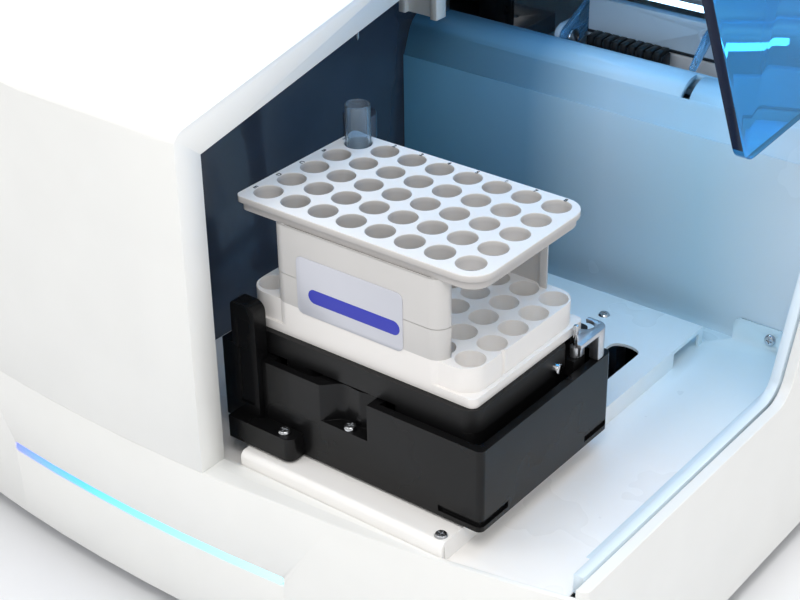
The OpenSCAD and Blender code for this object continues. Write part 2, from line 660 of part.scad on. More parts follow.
// ---------- sampler carriage ----------
module at_rack() { translate([rack_x, rack_y, 0]) children(); }
tub_front = -tub_d / 2 - 1;
tub_back = tub_d / 2 - 1;
post_back = -46.4;
rim_gap = 1;
tray_low = tub_bottom + tub_wall + 17.8;
module tub_plan(inset) {
    polygon(rounded([
        [-45.7 + inset, tub_front + inset, 0], [tub_half - inset, tub_front + inset, 3],
        [tub_half - inset, tub_back - inset, 3], [-tub_half + inset, tub_back - inset, 3],
        [-tub_half + inset, post_back + inset, 1], [-45.7 + inset, post_back + inset, 0]]));
}
pocket_floor = tub_top - 18.5;
module carriage_tub() color([0.14, 0.14, 0.15]) at_rack() difference() {
    union() {
        difference() {
            along_z(tub_bottom, tub_top - tub_bottom) tub_plan(0);
            along_z(tub_bottom + tub_wall, tub_top) tub_plan(tub_wall);
        }
        // boss behind the screw pocket
        along_z(tub_bottom + 1, tub_top - tub_bottom - 1) polygon(rounded([
            [-20, tub_front + 1, 0], [18, tub_front + 1, 0], [18, tub_front + 11, 3],
            [-12, tub_front + 11, 3], [-20, tub_front + 3, 3]]));
        // ways for the cross slide
        for (y = [-36, 28]) block([-34, y, tub_bottom + 1], [58, y + 8, tray_low - 6 - 2 * GAP]);
    }
    // scalloped screw pocket in the front face
    along_z(pocket_floor, tub_top) polygon(rounded([
        [-17, tub_front - 1, 0], [-12, tub_front, 5], [-5, tub_front + 7.5, 6], [5, tub_front + 6.5, 5],
        [14, tub_front + 8.5, 0], [14, tub_front - 1, 0]]));
    translate([2, tub_front + 3.2, 0]) cylinder(r = 1.5 + RUN, h = tub_top, $fn = 24);
    // slits at the lower corners
    block([52, tub_front - 1, tub_bottom + 2.5], [tub_half + 1, tub_front + 1.6, tub_bottom + 5.5]);
    for (y = [[tub_front - 1, tub_front + 20], [tub_back - 20, tub_back - 2]])
        block([tub_half - 1.6, y[0], tub_bottom + 2.5], [tub_half + 1, y[1], tub_bottom + 5.5]);
}
module carriage_post() color([0.1, 0.1, 0.11]) at_rack() {
    post_h = rack_h - 45;
    foot_h = tub_bottom + 11.5;
    difference() {
        union() {
            along_y(tub_front - 3, post_back - tub_front + 3) polygon(rounded([
                [-60, tub_bottom, 0], [-60, post_h, 3], [-45.9, post_h, 5], [-45.9, tub_bottom, 0]]));
            along_z(tub_bottom, foot_h - tub_bottom) polygon(rounded([
                [-60, tub_front - 9, 0], [-23, tub_front - 9, 4], [-23, tub_front, 0], [-60, tub_front, 0]]));
        }
        translate([-30, tub_front - 4.6, tub_bottom - 1]) cylinder(r = 1.5 + RUN, h = 20, $fn = 24);
        // relief down the post's face
        block([-57, tub_front - 4, foot_h + 6], [-49, tub_front - 2.2, post_h - 8]);
    }
}
module carriage_screws() color("gainsboro") at_rack() {
    translate([2, tub_front + 3.2, pocket_floor]) pan_screw(3, 1.5, 6);
    translate([-30, tub_front - 4.6, tub_bottom + 11.5]) pan_screw(3, 1.5, 6);
}
motor_x = 12;
module shaker_motor() color([0.3, 0.3, 0.31]) at_rack() {
    z0 = tub_bottom + tub_wall;
    translate([motor_x, 0, z0]) difference() {
        union() {
            cylinder(r = 18, h = 7);
            cylinder(r = 12, h = 8.4);
        }
        translate([0, 0, 2]) cylinder(r = 3 + RUN, h = 10);
    }
}
module shaker_crank() color("gainsboro") at_rack() {
    z0 = tub_bottom + tub_wall + 2 + GAP;
    translate([motor_x, 0, z0]) {
        cylinder(r = 3, h = 8);
        translate([0, 0, 7]) cylinder(r = 6, h = 2);
        translate([shaker_throw, 0, 9 - EPS]) cylinder(r = 3, h = tray_low - z0 - 3);
    }
}
module cross_slide() color("silver") at_rack() {
    z1 = tray_low - GAP;
    difference() {
        block([-34, -40, z1 - 6], [60, 40, z1]);
        translate([motor_x, 0, z1 - 7]) cylinder(r = 12, h = 8);
        for (x = [-24, 50], y = [-30, 30]) translate([x, y, z1 - 7]) cylinder(r = 2.2, h = 8, $fn = 24);
    }
}
clamp_at = [66.5, 31];
clamp_pin_r = 1.2;
boss_z = tub_top + 3.5;
dowel_r = 2.5;
module shaker_tray() color([0.12, 0.12, 0.13]) at_rack() difference() {
    union() {
        along_z(tub_top + rim_gap, foot_z - tub_top - rim_gap) polygon(rounded([
            [-66, -44.5, 8], [66, -44.5, 8], [66, 25, 2], [61, 25, 1], [61, 36.5, 1],
            [65.8, 36.5, 1], [65.8, 44, 3], [-66, 44, 8]]));
        along_z(tray_low, tub_top + rim_gap - tray_low + EPS) polygon(rounded([
            [-38, -44.5, 3], [-24, -44.5, 4], [-16, -36, 6], [20, -36, 6], [24, -44.5, 4], [64, -44.5, 4],
            [64, 40, 4], [-38, 40, 4]]));
        // ear under the corner clamp
        block([60, clamp_at.y - 4.5, tub_top - 5], [clamp_at.x + 2.3, clamp_at.y + 4.5, boss_z - GAP]);
    }
    translate([motor_x, 0, tray_low - 1]) cylinder(r = 7, h = 9);
    translate([-14, 0, foot_z - 1.5]) cube([96, 64, 4], center = true);
    translate([clamp_at.x, clamp_at.y, tub_top - 5]) cylinder(r = clamp_pin_r, h = 20);
    translate([0, 16, tub_top + 4.5]) rod_x(58, 10, dowel_r);
}
module tray_pins() color("gainsboro") at_rack() {
    translate([0, 16, tub_top + 4.5]) rod_x(58, 10.5, dowel_r);
    translate([clamp_at.x, clamp_at.y, tub_top - 5]) cylinder(r = clamp_pin_r, h = 24);
}
module corner_clamp() color("darkgray") at_rack() {
    plate_z = foot_z + 0.9;
    plate_t = 2;
    outer_x = tub_half - 0.3;
    outer_y = 46.4;
    difference() {
        union() {
            along_z(plate_z, plate_t) polygon(rounded([
                [65.2, 33.6, 0.5], [72, 23.6, 0.5], [outer_x, 23.6, 0.5], [outer_x, outer_y, 5],
                [63.4, outer_y, 0.5], [63.4, 44, 0]]));
            along_z(tub_top + GAP, plate_z - tub_top) polygon(rounded([
                [68.6, 38, 0.5], [outer_x, 38, 0.5], [outer_x, outer_y, 5], [68.6, outer_y, 0.5]]));
            // knuckle on the pivot pin and the web that joins it to the plate
            translate([clamp_at.x, clamp_at.y, boss_z]) cylinder(r = 2.4, h = 5);
            block([clamp_at.x + 0.6, clamp_at.y - 1.2, boss_z + 1],
                [70, clamp_at.y + 2.2, plate_z + plate_t]);
        }
        translate([65.2, 40, tub_top - 1]) cylinder(r = 4.6, h = 40);
        translate([clamp_at.x, clamp_at.y, 0]) cylinder(r = clamp_pin_r + RUN, h = 200);
    }
}

// ---------- tube rack ----------
seam_h = rack_h - 30.5;
lower_deck = rack_h - 45.2;
socket_floor = rack_h + 19.6 - tube_len;
columns = [for (i = [0:7]) (i - 3.5) * pitch];
rows = [for (j = [0:4]) (j - 2) * pitch];
block_r = 7;
module block_plan(inset = 0) {
    x = block_l / 2 - inset;
    y = foot_w / 2 - inset;
    polygon(rounded([[-x + 1.2, -y, block_r], [x + 1.2, -y, block_r], [x + 1.2, y, block_r],
        [-x + 1.2, y, block_r]]));
}
module sockets(z0, z1, cols = columns) {
    for (x = cols, y = rows) translate([x, y, z0]) cylinder(r = socket_d / 2, h = z1 - z0);
}
module top_plan(inset) {
    x0 = columns[0] - 10.15 + inset;
    x1 = columns[7] + 11.25 - inset;
    y0 = rows[0] - 10.6 + inset;
    y1 = rows[4] + 9.2 - inset;
    polygon(rounded([[x0, y0, 3], [x1, y0, 11 - inset], [x1, y1, 11 - inset], [x0, y1, 3]]));
}
wall_t = 2.5;
plate_h = 7;
module rack_plate() color([0.92, 0.92, 0.91]) at_rack() difference() {
    union() {
        along_z(rack_h - 3, 3) top_plan(0);
        along_z(rack_h - 3.6, 1) top_plan(0.7);
        along_z(rack_h - plate_h, plate_h - 2) top_plan(1.6);
    }
    sockets(rack_h - plate_h - 1, rack_h + 1);
}
// front and back walls of the two mouldings, open at both ends, parted by the seam
module rack_walls() color([0.92, 0.92, 0.91]) at_rack() difference() {
    union() {
        along_z(lower_deck, seam_h - 0.25 - lower_deck) block_plan();
        along_z(seam_h - 0.5, 1) block_plan(0.35);
        along_z(seam_h + 0.25, rack_h - plate_h - seam_h - 0.25) block_plan();
    }
    along_z(lower_deck - 1, plate_h + 50) block_plan(wall_t);
    block([-foot_l, -foot_w / 2 + 7, lower_deck - 1], [foot_l, foot_w / 2 - 5.5, rack_h]);
}
module rack_base() color([0.92, 0.92, 0.91]) at_rack() {
    end_x = foot_l / 2 - 2;
    foot_t = 4.5;
    difference() {
        union() {
            along_z(foot_z, foot_t) polygon(rounded([
                [-foot_l / 2, -foot_w / 2, 3.5], [foot_l / 2, -foot_w / 2, 3.5],
                [foot_l / 2, foot_w / 2, 3.5], [-foot_l / 2, foot_w / 2, 3.5]]));
            along_z(foot_z + foot_t - EPS, lower_deck - foot_z - foot_t + EPS) union() {
                polygon(rounded([
                    [-end_x, -foot_w / 2 + 1.4, 10], [end_x, -foot_w / 2 + 1.4, 10],
                    [end_x, foot_w / 2 - 1.4, 10], [-end_x, foot_w / 2 - 1.4, 10]]));
                block_plan();
            }
        }
        sockets(socket_floor, lower_deck + 1);
        // grip grooves in the ends
        for (s = [-1, 1]) translate([s * end_x, -18, foot_z + foot_t])
            cylinder(r = 1.2, h = 20, $fn = 24);
        // hollow underside
        translate([0, 0, foot_z - 1]) linear_extrude(2.2) square([foot_l - 8, foot_w - 8], center = true);
    }
}
module rack_label() color([0.77, 0.78, 0.82]) at_rack() {
    y = -foot_w / 2;
    along_y(y - 0.4, 0.4) polygon(rounded([
        [-30.4, rack_h - 46.8, 3], [27.4, rack_h - 46.8, 3], [27.4, rack_h - 18.7, 3],
            [-30.4, rack_h - 18.7, 3]]));
}
module sample_tube() color([0.85, 0.93, 0.97, 0.4]) at_rack() {
    t = 1;
    r = tube_d / 2;
    z0 = socket_floor + 0.2;
    translate([columns[0], rows[4], z0]) rotate_extrude() polygon(concat(
        [for (i = [0:8]) [r * sin(i * 11.25), r - r * cos(i * 11.25)]],
        [[r, tube_len - 0.2], [r - t, tube_len - 0.2]],
        [for (i = [8:-1:0]) [(r - t) * sin(i * 11.25), r - (r - t) * cos(i * 11.25)]]));
}

// ---------- probe gantry ----------
beam_y0 = rear_wall_y - 21;
beam_y1 = rear_wall_y + 1;
beam_z0 = belt_z - 11;
beam_z1 = belt_z + 8;
arm_top = top_z(probe_y - 4, wall) - 3;
probe_arm_t = 5;
probe_stroke = needle_len - 1;
module gantry_beam() color("silver") {
    leg_w = 12;
    x1 = bay_right - 9.5;
    difference() {
        block([bay_left + 2, beam_y0, beam_z0], [x1, beam_y1, beam_z1]);
        for (i = [0:floor((x1 - bay_left - 42) / 36)])
            translate([bay_left + 30 + i * 36, 0, belt_z - 1]) rod_y(beam_y0 + 4, 30, 6);
    }
    block([bay_left + 2, beam_y0 - 4.5, belt_z - 7], [x1, beam_y0 + EPS, belt_z - 1]);
    for (x = [bay_left + 2, x1 - leg_w]) {
        block([x, beam_y0, beam_z0 - 9], [x + leg_w, shelf_end - 2, beam_z0 + EPS]);
        block([x, shelf_end - 12, shelf_h], [x + leg_w, shelf_end - 2, beam_z0 - 9 + EPS]);
    }
    translate([belt_x1, 0, belt_z]) rod_y(beam_y1 - EPS, 6, 2.5 - RUN);
}
belt_t = 1.2;
module toothed_pulley(x) {
    translate([x, belt_y, belt_z]) rotate([-90, 0, 0]) difference() {
        union() {
            cylinder(r = pulley_r - belt_t / 2 - 0.1, h = 5);
            for (z = [0, 4.4]) translate([0, 0, z]) cylinder(r = pulley_r + 1.3, h = 0.6);
        }
        translate([0, 0, -1]) cylinder(r = 2.5, h = 8);
        for (i = [0:13]) rotate([0, 0, i * 360 / 14]) translate([pulley_r - belt_t / 2, 0, 2.5])
            cube([1, 1.2, 3.6], center = true);
    }
}
module drive_pulley() color("silver") toothed_pulley(belt_x0);
module idler_pulley() color("silver") toothed_pulley(belt_x1);
module gantry_belt() color([0.08, 0.08, 0.08]) {
    along_y(belt_y + 0.9, 3.2) difference() {
        polygon(belt_loop(pulley_r + belt_t / 2));
        polygon(belt_loop(pulley_r - belt_t / 2));
    }
}
function belt_loop(r) = concat(
    [for (i = [0:12]) [belt_x0, belt_z] + r * [cos(90 + 15 * i), sin(90 + 15 * i)]],
    [for (i = [0:12]) [belt_x1, belt_z] + r * [cos(270 + 15 * i), sin(270 + 15 * i)]]);
module probe_carriage() color([0.85, 0.86, 0.88]) {
    x0 = probe_x - 15;
    x1 = probe_x + 15;
    y0 = beam_y0 - 18;
    clamp_z = beam_z1 + 0.5;
    low_z = arm_top - probe_stroke - 8.5;
    difference() {
        union() {
            block([x0, y0, beam_z0 - 8], [x1, beam_y0 - GAP, clamp_z + 4]);
            block([probe_x - 12, y0, low_z], [probe_x + 12, y0 + 8, beam_z0]);
        }
        block([x0 - 1, beam_y0 - 4.5 - GAP, belt_z - 7 - GAP], [x1 + 1, beam_y0, belt_z - 1 + GAP]);
        // ways for the probe arm
        block([probe_x - 8, y0 - 1, low_z - 1], [probe_x + 8, y0 + 3, clamp_z + 5]);
    }
    // finger over the beam that grips the belt
    block([probe_x - 9, beam_y0 - GAP - EPS, clamp_z], [probe_x + 9, belt_y + 4.5, clamp_z + 4]);
    block([probe_x - 9, belt_y + 0.9, belt_z + pulley_r + belt_t / 2],
        [probe_x + 9, belt_y + 4.1, clamp_z + EPS]);
}
module probe_arm() color("gainsboro") {
    y0 = beam_y0 - 18;
    difference() {
        union() {
            block([probe_x - 8 + GAP, y0 - 3, arm_top - 8], [probe_x + 8 - GAP, y0 + 3 - GAP, arm_top]);
            along_z(arm_top - probe_arm_t, probe_arm_t) polygon(rounded([
                [probe_x - 7, y0 - 2, 0], [probe_x - 3.5, probe_y - 3.5, 3],
                    [probe_x + 3.5, probe_y - 3.5, 3],
                [probe_x + 7, y0 - 2, 0]]));
        }
        translate([probe_x, probe_y, 0]) cylinder(r = 1.6, h = top_h);
    }
}
module probe_needle() color("gainsboro") {
    translate([probe_x, probe_y, arm_top - probe_arm_t - needle_len]) {
        rotate_extrude($fn = 24) polygon([
            [0, 0], [0.3, 0], [needle_r, 1.4], [needle_r, needle_len], [1.6, needle_len],
            [1.6, needle_len + probe_arm_t], [2.4, needle_len + probe_arm_t],
                [2.4, needle_len + probe_arm_t + 0.8],
            [0, needle_len + probe_arm_t + 0.8]]);
    }
}
module cable_chain() color([0.1, 0.1, 0.1]) {
    link = 5;
    z0 = hinge_z - 9;
    y0 = shelf_end + 2.5;
    for (i = [0:8]) {
        block([rack_x - 38 + i * link, y0, z0], [rack_x - 38 + (i + 1) * link - 1.2, y0 + 10, z0 + 15]);
        block([rack_x - 38 + i * link, y0 + 1, z0 + 1],
            [rack_x - 38 + (i + 1) * link + EPS, y0 + 9, z0 + 13]);
    }
}
module wash_station() color([0.13, 0.14, 0.16]) {
    cup_top = arm_top - probe_arm_t - needle_len * 2 + 3;
    translate([probe_x, probe_y, floor_h]) rotate_extrude() polygon(rounded([
        [0, 0, 0], [14, 0, 0], [14, 3, 0], [7, 6, 3], [7, cup_top - floor_h - 16, 2],
            [8.5, cup_top - floor_h - 13, 2],
        [8.5, cup_top - floor_h, 0.8], [3.5, cup_top - floor_h, 0], [3.5, cup_top - floor_h - 12, 0],
        [0, cup_top - floor_h - 12, 0]], 3));
}

// ---------- optics and fluidics ----------
bench_top = 162;
module optical_bench() color("silver") {
    difference() {
        block([-212, -110, bench_top - 12], [-48, 150, bench_top]);
        for (i = [0:5], j = [0:9]) translate([-190 + i * 25, -95 + j * 25, bench_top - 5])
            cylinder(r = 2.2, h = 6, $fn = 16);
    }
    for (x = [-200, -60], y = [-98, 138]) translate([x, y, chassis_z]) {
        cylinder(r = 9, h = bench_top - 12 - chassis_z + EPS);
        cylinder(r = 15, h = 4);
    }
}
module laser_heads() color([0.2, 0.22, 0.26]) {
    for (i = [0:3]) translate([-208, -100 + i * 44, bench_top]) {
        cube([78, 34, 22]);
        for (f = [0:6]) translate([4 + f * 10.6, 2, 22 - EPS]) cube([4, 30, 8]);
        translate([78 - EPS, 17, 12]) rod_x(0, 6, 4);
    }
    // flow cell that the beams meet in
    translate([-104, -20, bench_top]) {
        cube([30, 36, 10]);
        translate([6, 8, 10 - EPS]) cube([18, 20, 14]);
        translate([15, 18, 24 - EPS]) cylinder(r = 6, h = 12);
        translate([15, 18, 36 - EPS]) cylinder(r = 2, h = 10);
        translate([30 - EPS, 18, 18]) rod_x(0, 6, 9);
    }
}
module detector_array() color([0.25, 0.26, 0.28]) {
    // photodetectors fanned round the dispersed beam
    translate([-96, 96, bench_top]) difference() {
        cylinder(r = 44, h = 26, $fn = FINE);
        translate([0, 0, 4]) cylinder(r = 32, h = 30, $fn = FINE);
        translate([-50, -90, 4]) cube([100, 84, 30]);
        for (i = [0:11]) rotate([0, 0, 8 + i * 15]) translate([30, 0, 15]) rod_x(0, 20, 3);
    }
}
module syringe_barrel() color([0.85, 0.9, 0.93, 0.6]) {
    translate([-180, -205, chassis_z]) {
        difference() {
            union() {
                translate([-24, -18, 0]) cube([48, 44, 30]);
                translate([-24, 14, 0]) cube([48, 12, 120]);
                translate([0, 0, 30 - EPS]) cylinder(r = syringe_d / 2 + 2, h = 66);
                translate([-8, 0, 88]) cube([16, 16, 20]);
            }
            translate([0, 0, 6]) cylinder(r = syringe_d / 2 + RUN, h = 86);
        }
    }
}
module syringe_plunger() color("white") {
    stroke_gap = 1;
    translate([-180, -205, chassis_z + 6 + stroke_gap]) {
        cylinder(r = syringe_d / 2, h = 8);
        translate([0, 0, 8 - EPS]) cylinder(r = 3, h = 30 - EPS);
        translate([0, 0, 38 - 2 * EPS]) cylinder(r = syringe_d / 2, h = 5);
    }
}
pump_at = [-90, -200];
module peristaltic_pump() color([0.9, 0.9, 0.88]) {
    translate([pump_at.x, pump_at.y, chassis_z]) difference() {
        union() {
            translate([-32, -28, 0]) cube([64, 56, 40]);
            translate([0, 0, 40 - EPS]) cylinder(r = 27, h = 22);
        }
        translate([0, 0, 42]) cylinder(r = 22, h = 21);
        translate([-30, -6, 42]) cube([12, 12, 21]);
        translate([0, 0, 30]) cylinder(r = 3 + RUN, h = 20);
    }
}
module pump_rotor() color([0.3, 0.3, 0.32]) {
    translate([pump_at.x, pump_at.y, chassis_z + 31]) {
        cylinder(r = 3, h = 12);
        translate([0, 0, 12 - EPS]) cylinder(r = 13, h = 3);
        for (a = [0, 120, 240]) rotate([0, 0, a]) translate([12.5, 0, 15 - 2 * EPS])
            cylinder(r = 5.5, h = 13);
        translate([0, 0, 28 - 3 * EPS]) cylinder(r = 13, h = 2);
    }
}

// ---------- electronics and rear ----------
module fan_frame() color([0.1, 0.1, 0.11]) {
    depth = 24;
    half = fan_d / 2 + 3;
    y1 = back_y - wall;
    translate([fan_at.x, y1 - depth, fan_at.y]) difference() {
        translate([-half, 0, -half]) cube([2 * half, depth, 2 * half]);
        rod_y(-1, depth + 2, fan_d / 2);
        for (x = [-1, 1], z = [-1, 1]) translate([x * (half - 4.5), 0, z * (half - 4.5)])
            rod_y(-1, depth + 2, 2);
    }
    translate([fan_at.x, y1 - 3, fan_at.y]) difference() {
        union() {
            rod_y(0, 3, 12);
            for (a = [0, 90, 180, 270]) rotate([0, a, 0]) translate([8, 0, -2]) cube([fan_d / 2 - 6, 3, 4]);
        }
        rod_y(-1, 3, 3 + RUN);
    }
}
module fan_rotor() color([0.16, 0.16, 0.17]) {
    y1 = back_y - wall;
    translate([fan_at.x, y1 - 22, fan_at.y]) {
        rod_y(0, 17, 14);
        rod_y(17 - EPS, 3, 3);
        for (i = [0:6]) rotate([0, i * 360 / 7, 0]) translate([13, 2, -1])
            along_x(0, fan_d / 2 - 14.5) polygon([[0, -5], [1.4, -5.6], [14, 5], [12.6, 5.6]]);
    }
}
module electronics() color([0.12, 0.3, 0.2]) {
    // power supply case
    case_x1 = body_w / 2 - 13;
    block([case_x1 - 82, 60, chassis_z], [case_x1, 200, chassis_z + 52]);
    // main board on its pillars with chips and heat sink
    block([-20, 70, chassis_z + 12], [120, 210, chassis_z + 14]);
    for (x = [-12, 112], y = [78, 202]) translate([x, y, chassis_z]) cylinder(r = 3, h = 12 + EPS);
    for (i = [0:3]) translate([0 + i * 28, 95, chassis_z + 14 - EPS]) cube([18, 18, 3]);
    for (f = [0:6]) translate([20 + f * 7, 140, chassis_z + 18]) cube([3, 40, 22]);
    translate([18, 138, chassis_z + 14 - EPS]) cube([49, 44, 4 + 2 * EPS]);
}
module rear_connectors() color([0.12, 0.12, 0.13]) {
    y1 = back_y;
    // mains inlet with its three blades in a sunk socket
    difference() {
        block([inlet_x - 13.7, y1 - 26, inlet_z - 11.7], [inlet_x + 13.7, y1, inlet_z + 11.7]);
        along_y(y1 - 16, 17) translate([inlet_x, inlet_z]) polygon(rounded([
            [-11, -8, 2], [11, -8, 2], [11, 4, 0], [7, 8, 0], [-7, 8, 0], [-11, 4, 0]]));
    }
    for (p = [[-6, -2], [0, 3], [6, -2]])
        translate([inlet_x + p.x, y1 - 17, inlet_z + p.y]) translate([-0.8, 0, -2]) cube([1.6, 11, 4]);
    // switch well
    difference() {
        block([inlet_x - 43.7, y1 - 20, inlet_z - 10.7], [inlet_x - 22.3, y1, inlet_z + 10.7]);
        block([inlet_x - 41, y1 - 13, inlet_z - 8], [inlet_x - 25, y1 + 1, inlet_z + 8]);
        translate([0, y1 - 5, inlet_z]) rod_x(inlet_x - 43, 20, 1.5);
    }
    // bulkhead fittings for the fluid lines
    for (i = [0:3]) translate([-40 + i * 22, 0, 40]) difference() {
        union() {
            rod_y(y1 - 22, 22 - EPS, 5);
            rod_y(y1 - wall - 3, 3, 8);
        }
        rod_y(y1 - 18, 20, 2.5);
    }
}
module power_switch() color([0.1, 0.1, 0.1]) {
    y1 = back_y;
    translate([inlet_x - 33, y1 - 5, inlet_z]) {
        rod_x(-9, 18, 1.5 - RUN);
        rotate([-8, 0, 0]) along_x(-7.4, 14.8) polygon(rounded([
            [-6, -5, 1], [3.4, -7, 0.6], [2, 0, 0], [3.4, 7, 0.6], [-6, 5, 1]]));
    }
}

base_pan();
feet();
lower_front_panel();
status_light();
hood();
rear_roof();
right_side_panel();
rear_panel();
bay_liner();
bay_left_wall();
bay_floor();
platform_cover();
bay_screws();
bay_light();
bulkhead();
hinge_beam();
hinge_pins();
tinted_cover();
cover_arms();
interlock_tongue();
interlock_switch();
drive_rails();
stepper_motors();
lead_screw();
carriage_slide();
carriage_tub();
carriage_post();
carriage_screws();
shaker_motor();
shaker_crank();
cross_slide();
shaker_tray();
tray_pins();
corner_clamp();
rack_plate();
rack_walls();
rack_base();
rack_label();
sample_tube();
gantry_beam();
drive_pulley();
idler_pulley();
gantry_belt();
probe_carriage();
probe_arm();
probe_needle();
cable_chain();
wash_station();
optical_bench();
laser_heads();
detector_array();
syringe_barrel();
syringe_plunger();
peristaltic_pump();
pump_rotor();
electronics();
fan_frame();
fan_rotor();
rear_connectors();
power_switch();
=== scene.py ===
"""Looks of a benchtop flow cytometer with a lift-up tinted cover and a tube sampler.

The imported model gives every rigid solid. Each sub-assembly class below softens the edges
of its own solids, adds the small surfaces that they lack, and dresses them in its finishes.
All lengths are metres in the instrument's own frame: origin on the bench under the middle
of the housing, +X to the sampler side, +Y to the back, +Z up.
"""

from __future__ import annotations

import json
import logging
import math
from dataclasses import dataclass, field
from enum import Enum

import bmesh
import bpy
import numpy as np
from mathutils import Matrix, Vector

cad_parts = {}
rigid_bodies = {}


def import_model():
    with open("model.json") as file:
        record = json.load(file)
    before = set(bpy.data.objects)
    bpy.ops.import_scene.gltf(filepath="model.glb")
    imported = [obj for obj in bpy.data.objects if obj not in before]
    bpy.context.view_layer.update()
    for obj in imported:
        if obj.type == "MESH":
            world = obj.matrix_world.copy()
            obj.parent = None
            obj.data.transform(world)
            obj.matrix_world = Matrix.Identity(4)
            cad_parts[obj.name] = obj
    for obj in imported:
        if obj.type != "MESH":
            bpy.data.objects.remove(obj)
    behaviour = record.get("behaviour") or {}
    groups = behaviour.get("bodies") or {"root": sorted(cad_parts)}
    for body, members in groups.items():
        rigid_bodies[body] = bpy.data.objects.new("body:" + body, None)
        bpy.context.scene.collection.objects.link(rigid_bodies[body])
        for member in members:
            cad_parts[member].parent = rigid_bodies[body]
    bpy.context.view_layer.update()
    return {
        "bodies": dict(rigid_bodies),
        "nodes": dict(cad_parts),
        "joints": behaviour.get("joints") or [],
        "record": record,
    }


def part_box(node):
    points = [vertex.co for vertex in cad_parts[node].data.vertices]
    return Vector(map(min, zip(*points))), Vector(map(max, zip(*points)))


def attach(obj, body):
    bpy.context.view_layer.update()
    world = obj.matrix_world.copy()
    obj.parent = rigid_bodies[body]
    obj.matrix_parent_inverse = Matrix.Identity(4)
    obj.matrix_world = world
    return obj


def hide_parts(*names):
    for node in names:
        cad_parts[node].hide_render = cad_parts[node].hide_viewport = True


LOG = logging.getLogger("cytometer")
MM = 0.001

Colour = tuple[float, float, float]
Point = tuple[float, float, float]


def linear(red: int, green: int, blue: int) -> Colour:
    """Turns a colour in 0-255 display values into scene-linear values.

    Args:
        red: Display red.
        green: Display green.
        blue: Display blue.

    Returns:
        The linear triple that Blender's sockets take.
    """
    def one(value: int) -> float:
        v = value / 255.0
        return v / 12.92 if v <= 0.04045 else ((v + 0.055) / 1.055) ** 2.4
    return one(red), one(green), one(blue)


# ----------------------------------------------------------------- finishes


class Grain(Enum):
    """How a finish's fine relief is laid out."""

    EVEN = "even"
    BRUSHED_X = "brushed_x"
    BRUSHED_Y = "brushed_y"
    SPECKLE = "speckle"


@dataclass(frozen=True)
class Finish:
    """One surface finish: a tone, its gloss and its fine relief.

    Attributes:
        name: Material name.
        tone: Scene-linear base colour.
        shade: How far the second tone falls below the first, 0 to 1.
        rough: Mean roughness.
        rough_spread: Spread of the roughness over the surface.
        metal: Metallic share.
        clear: Transmission share.
        ior: Index of refraction.
        coat: Weight of a clear coat.
        grain: Layout of the fine relief.
        grain_size: Size of the relief's features, in metres.
        relief: Strength of the relief.
        glow: Emission strength.
    """

    name: str
    tone: Colour
    shade: float = 0.05
    rough: float = 0.4
    rough_spread: float = 0.06
    metal: float = 0.0
    clear: float = 0.0
    ior: float = 1.5
    coat: float = 0.0
    grain: Grain = Grain.EVEN
    grain_size: float = 0.0012
    relief: float = 0.05
    glow: float = 0.0

    def material(self) -> bpy.types.Material:
        """Returns this finish's material, made on its first use."""
        title = f"finish_{self.name}"
        found = bpy.data.materials.get(title)
        if found is not None:
            return found
        mat = bpy.data.materials.new(title)
        mat.use_nodes = True
        self.wire(mat.node_tree, mat.node_tree.nodes["Principled BSDF"])
        return mat

    def wire(self, tree: bpy.types.NodeTree, shader: bpy.types.Node) -> None:
        """Connects tone, gloss and relief to the shader.

        Args:
            tree: The material's node tree.
            shader: Its Principled shader.
        """
        shader.inputs["Metallic"].default_value = self.metal
        shader.inputs["Transmission Weight"].default_value = self.clear
        shader.inputs["IOR"].default_value = self.ior
        shader.inputs["Coat Weight"].default_value = self.coat
        shader.inputs["Coat Roughness"].default_value = 0.08
        place = self.placed(tree)
        tree.links.new(self.toned(tree, place), shader.inputs["Base Color"])
        broad = noise(tree, place, 18.0, 3.0)
        gloss = span(tree, broad, self.rough - self.rough_spread, self.rough + self.rough_spread)
        tree.links.new(gloss, shader.inputs["Roughness"])
        fine = noise(tree, place, 1.0 / self.grain_size, 4.0)
        bump = tree.nodes.new("ShaderNodeBump")
        bump.inputs["Strength"].default_value = self.relief
        bump.inputs["Distance"].default_value = 0.1 * self.grain_size
        tree.links.new(fine, bump.inputs["Height"])
        tree.links.new(bump.outputs["Normal"], shader.inputs["Normal"])
        if self.glow > 0:
            shader.inputs["Emission Strength"].default_value = self.glow
            shader.inputs["Emission Color"].default_value = (*self.tone, 1.0)

    def placed(self, tree: bpy.types.NodeTree) -> bpy.types.NodeSocket:
        """Returns object coordinates, stretched along the brushing direction."""
        coords = tree.nodes.new("ShaderNodeTexCoord")
        mapping = tree.nodes.new("ShaderNodeMapping")
        stretch = {Grain.BRUSHED_X: (0.04, 1, 1), Grain.BRUSHED_Y: (1, 0.04, 1)}
        mapping.inputs["Scale"].default_value = stretch.get(self.grain, (1, 1, 1))
        tree.links.new(coords.outputs["Object"], mapping.inputs["Vector"])
        return mapping.outputs["Vector"]

    def toned(self, tree: bpy.types.NodeTree, place: bpy.types.NodeSocket) -> bpy.types.NodeSocket:
        """Returns the colour output: two close tones mixed by soft noise."""
        scale = 900.0 if self.grain is Grain.SPECKLE else 26.0
        dark = tuple(c * (1.0 - self.shade) for c in self.tone)
        return blend_tones(tree, noise(tree, place, scale, 3.0), dark, self.tone)


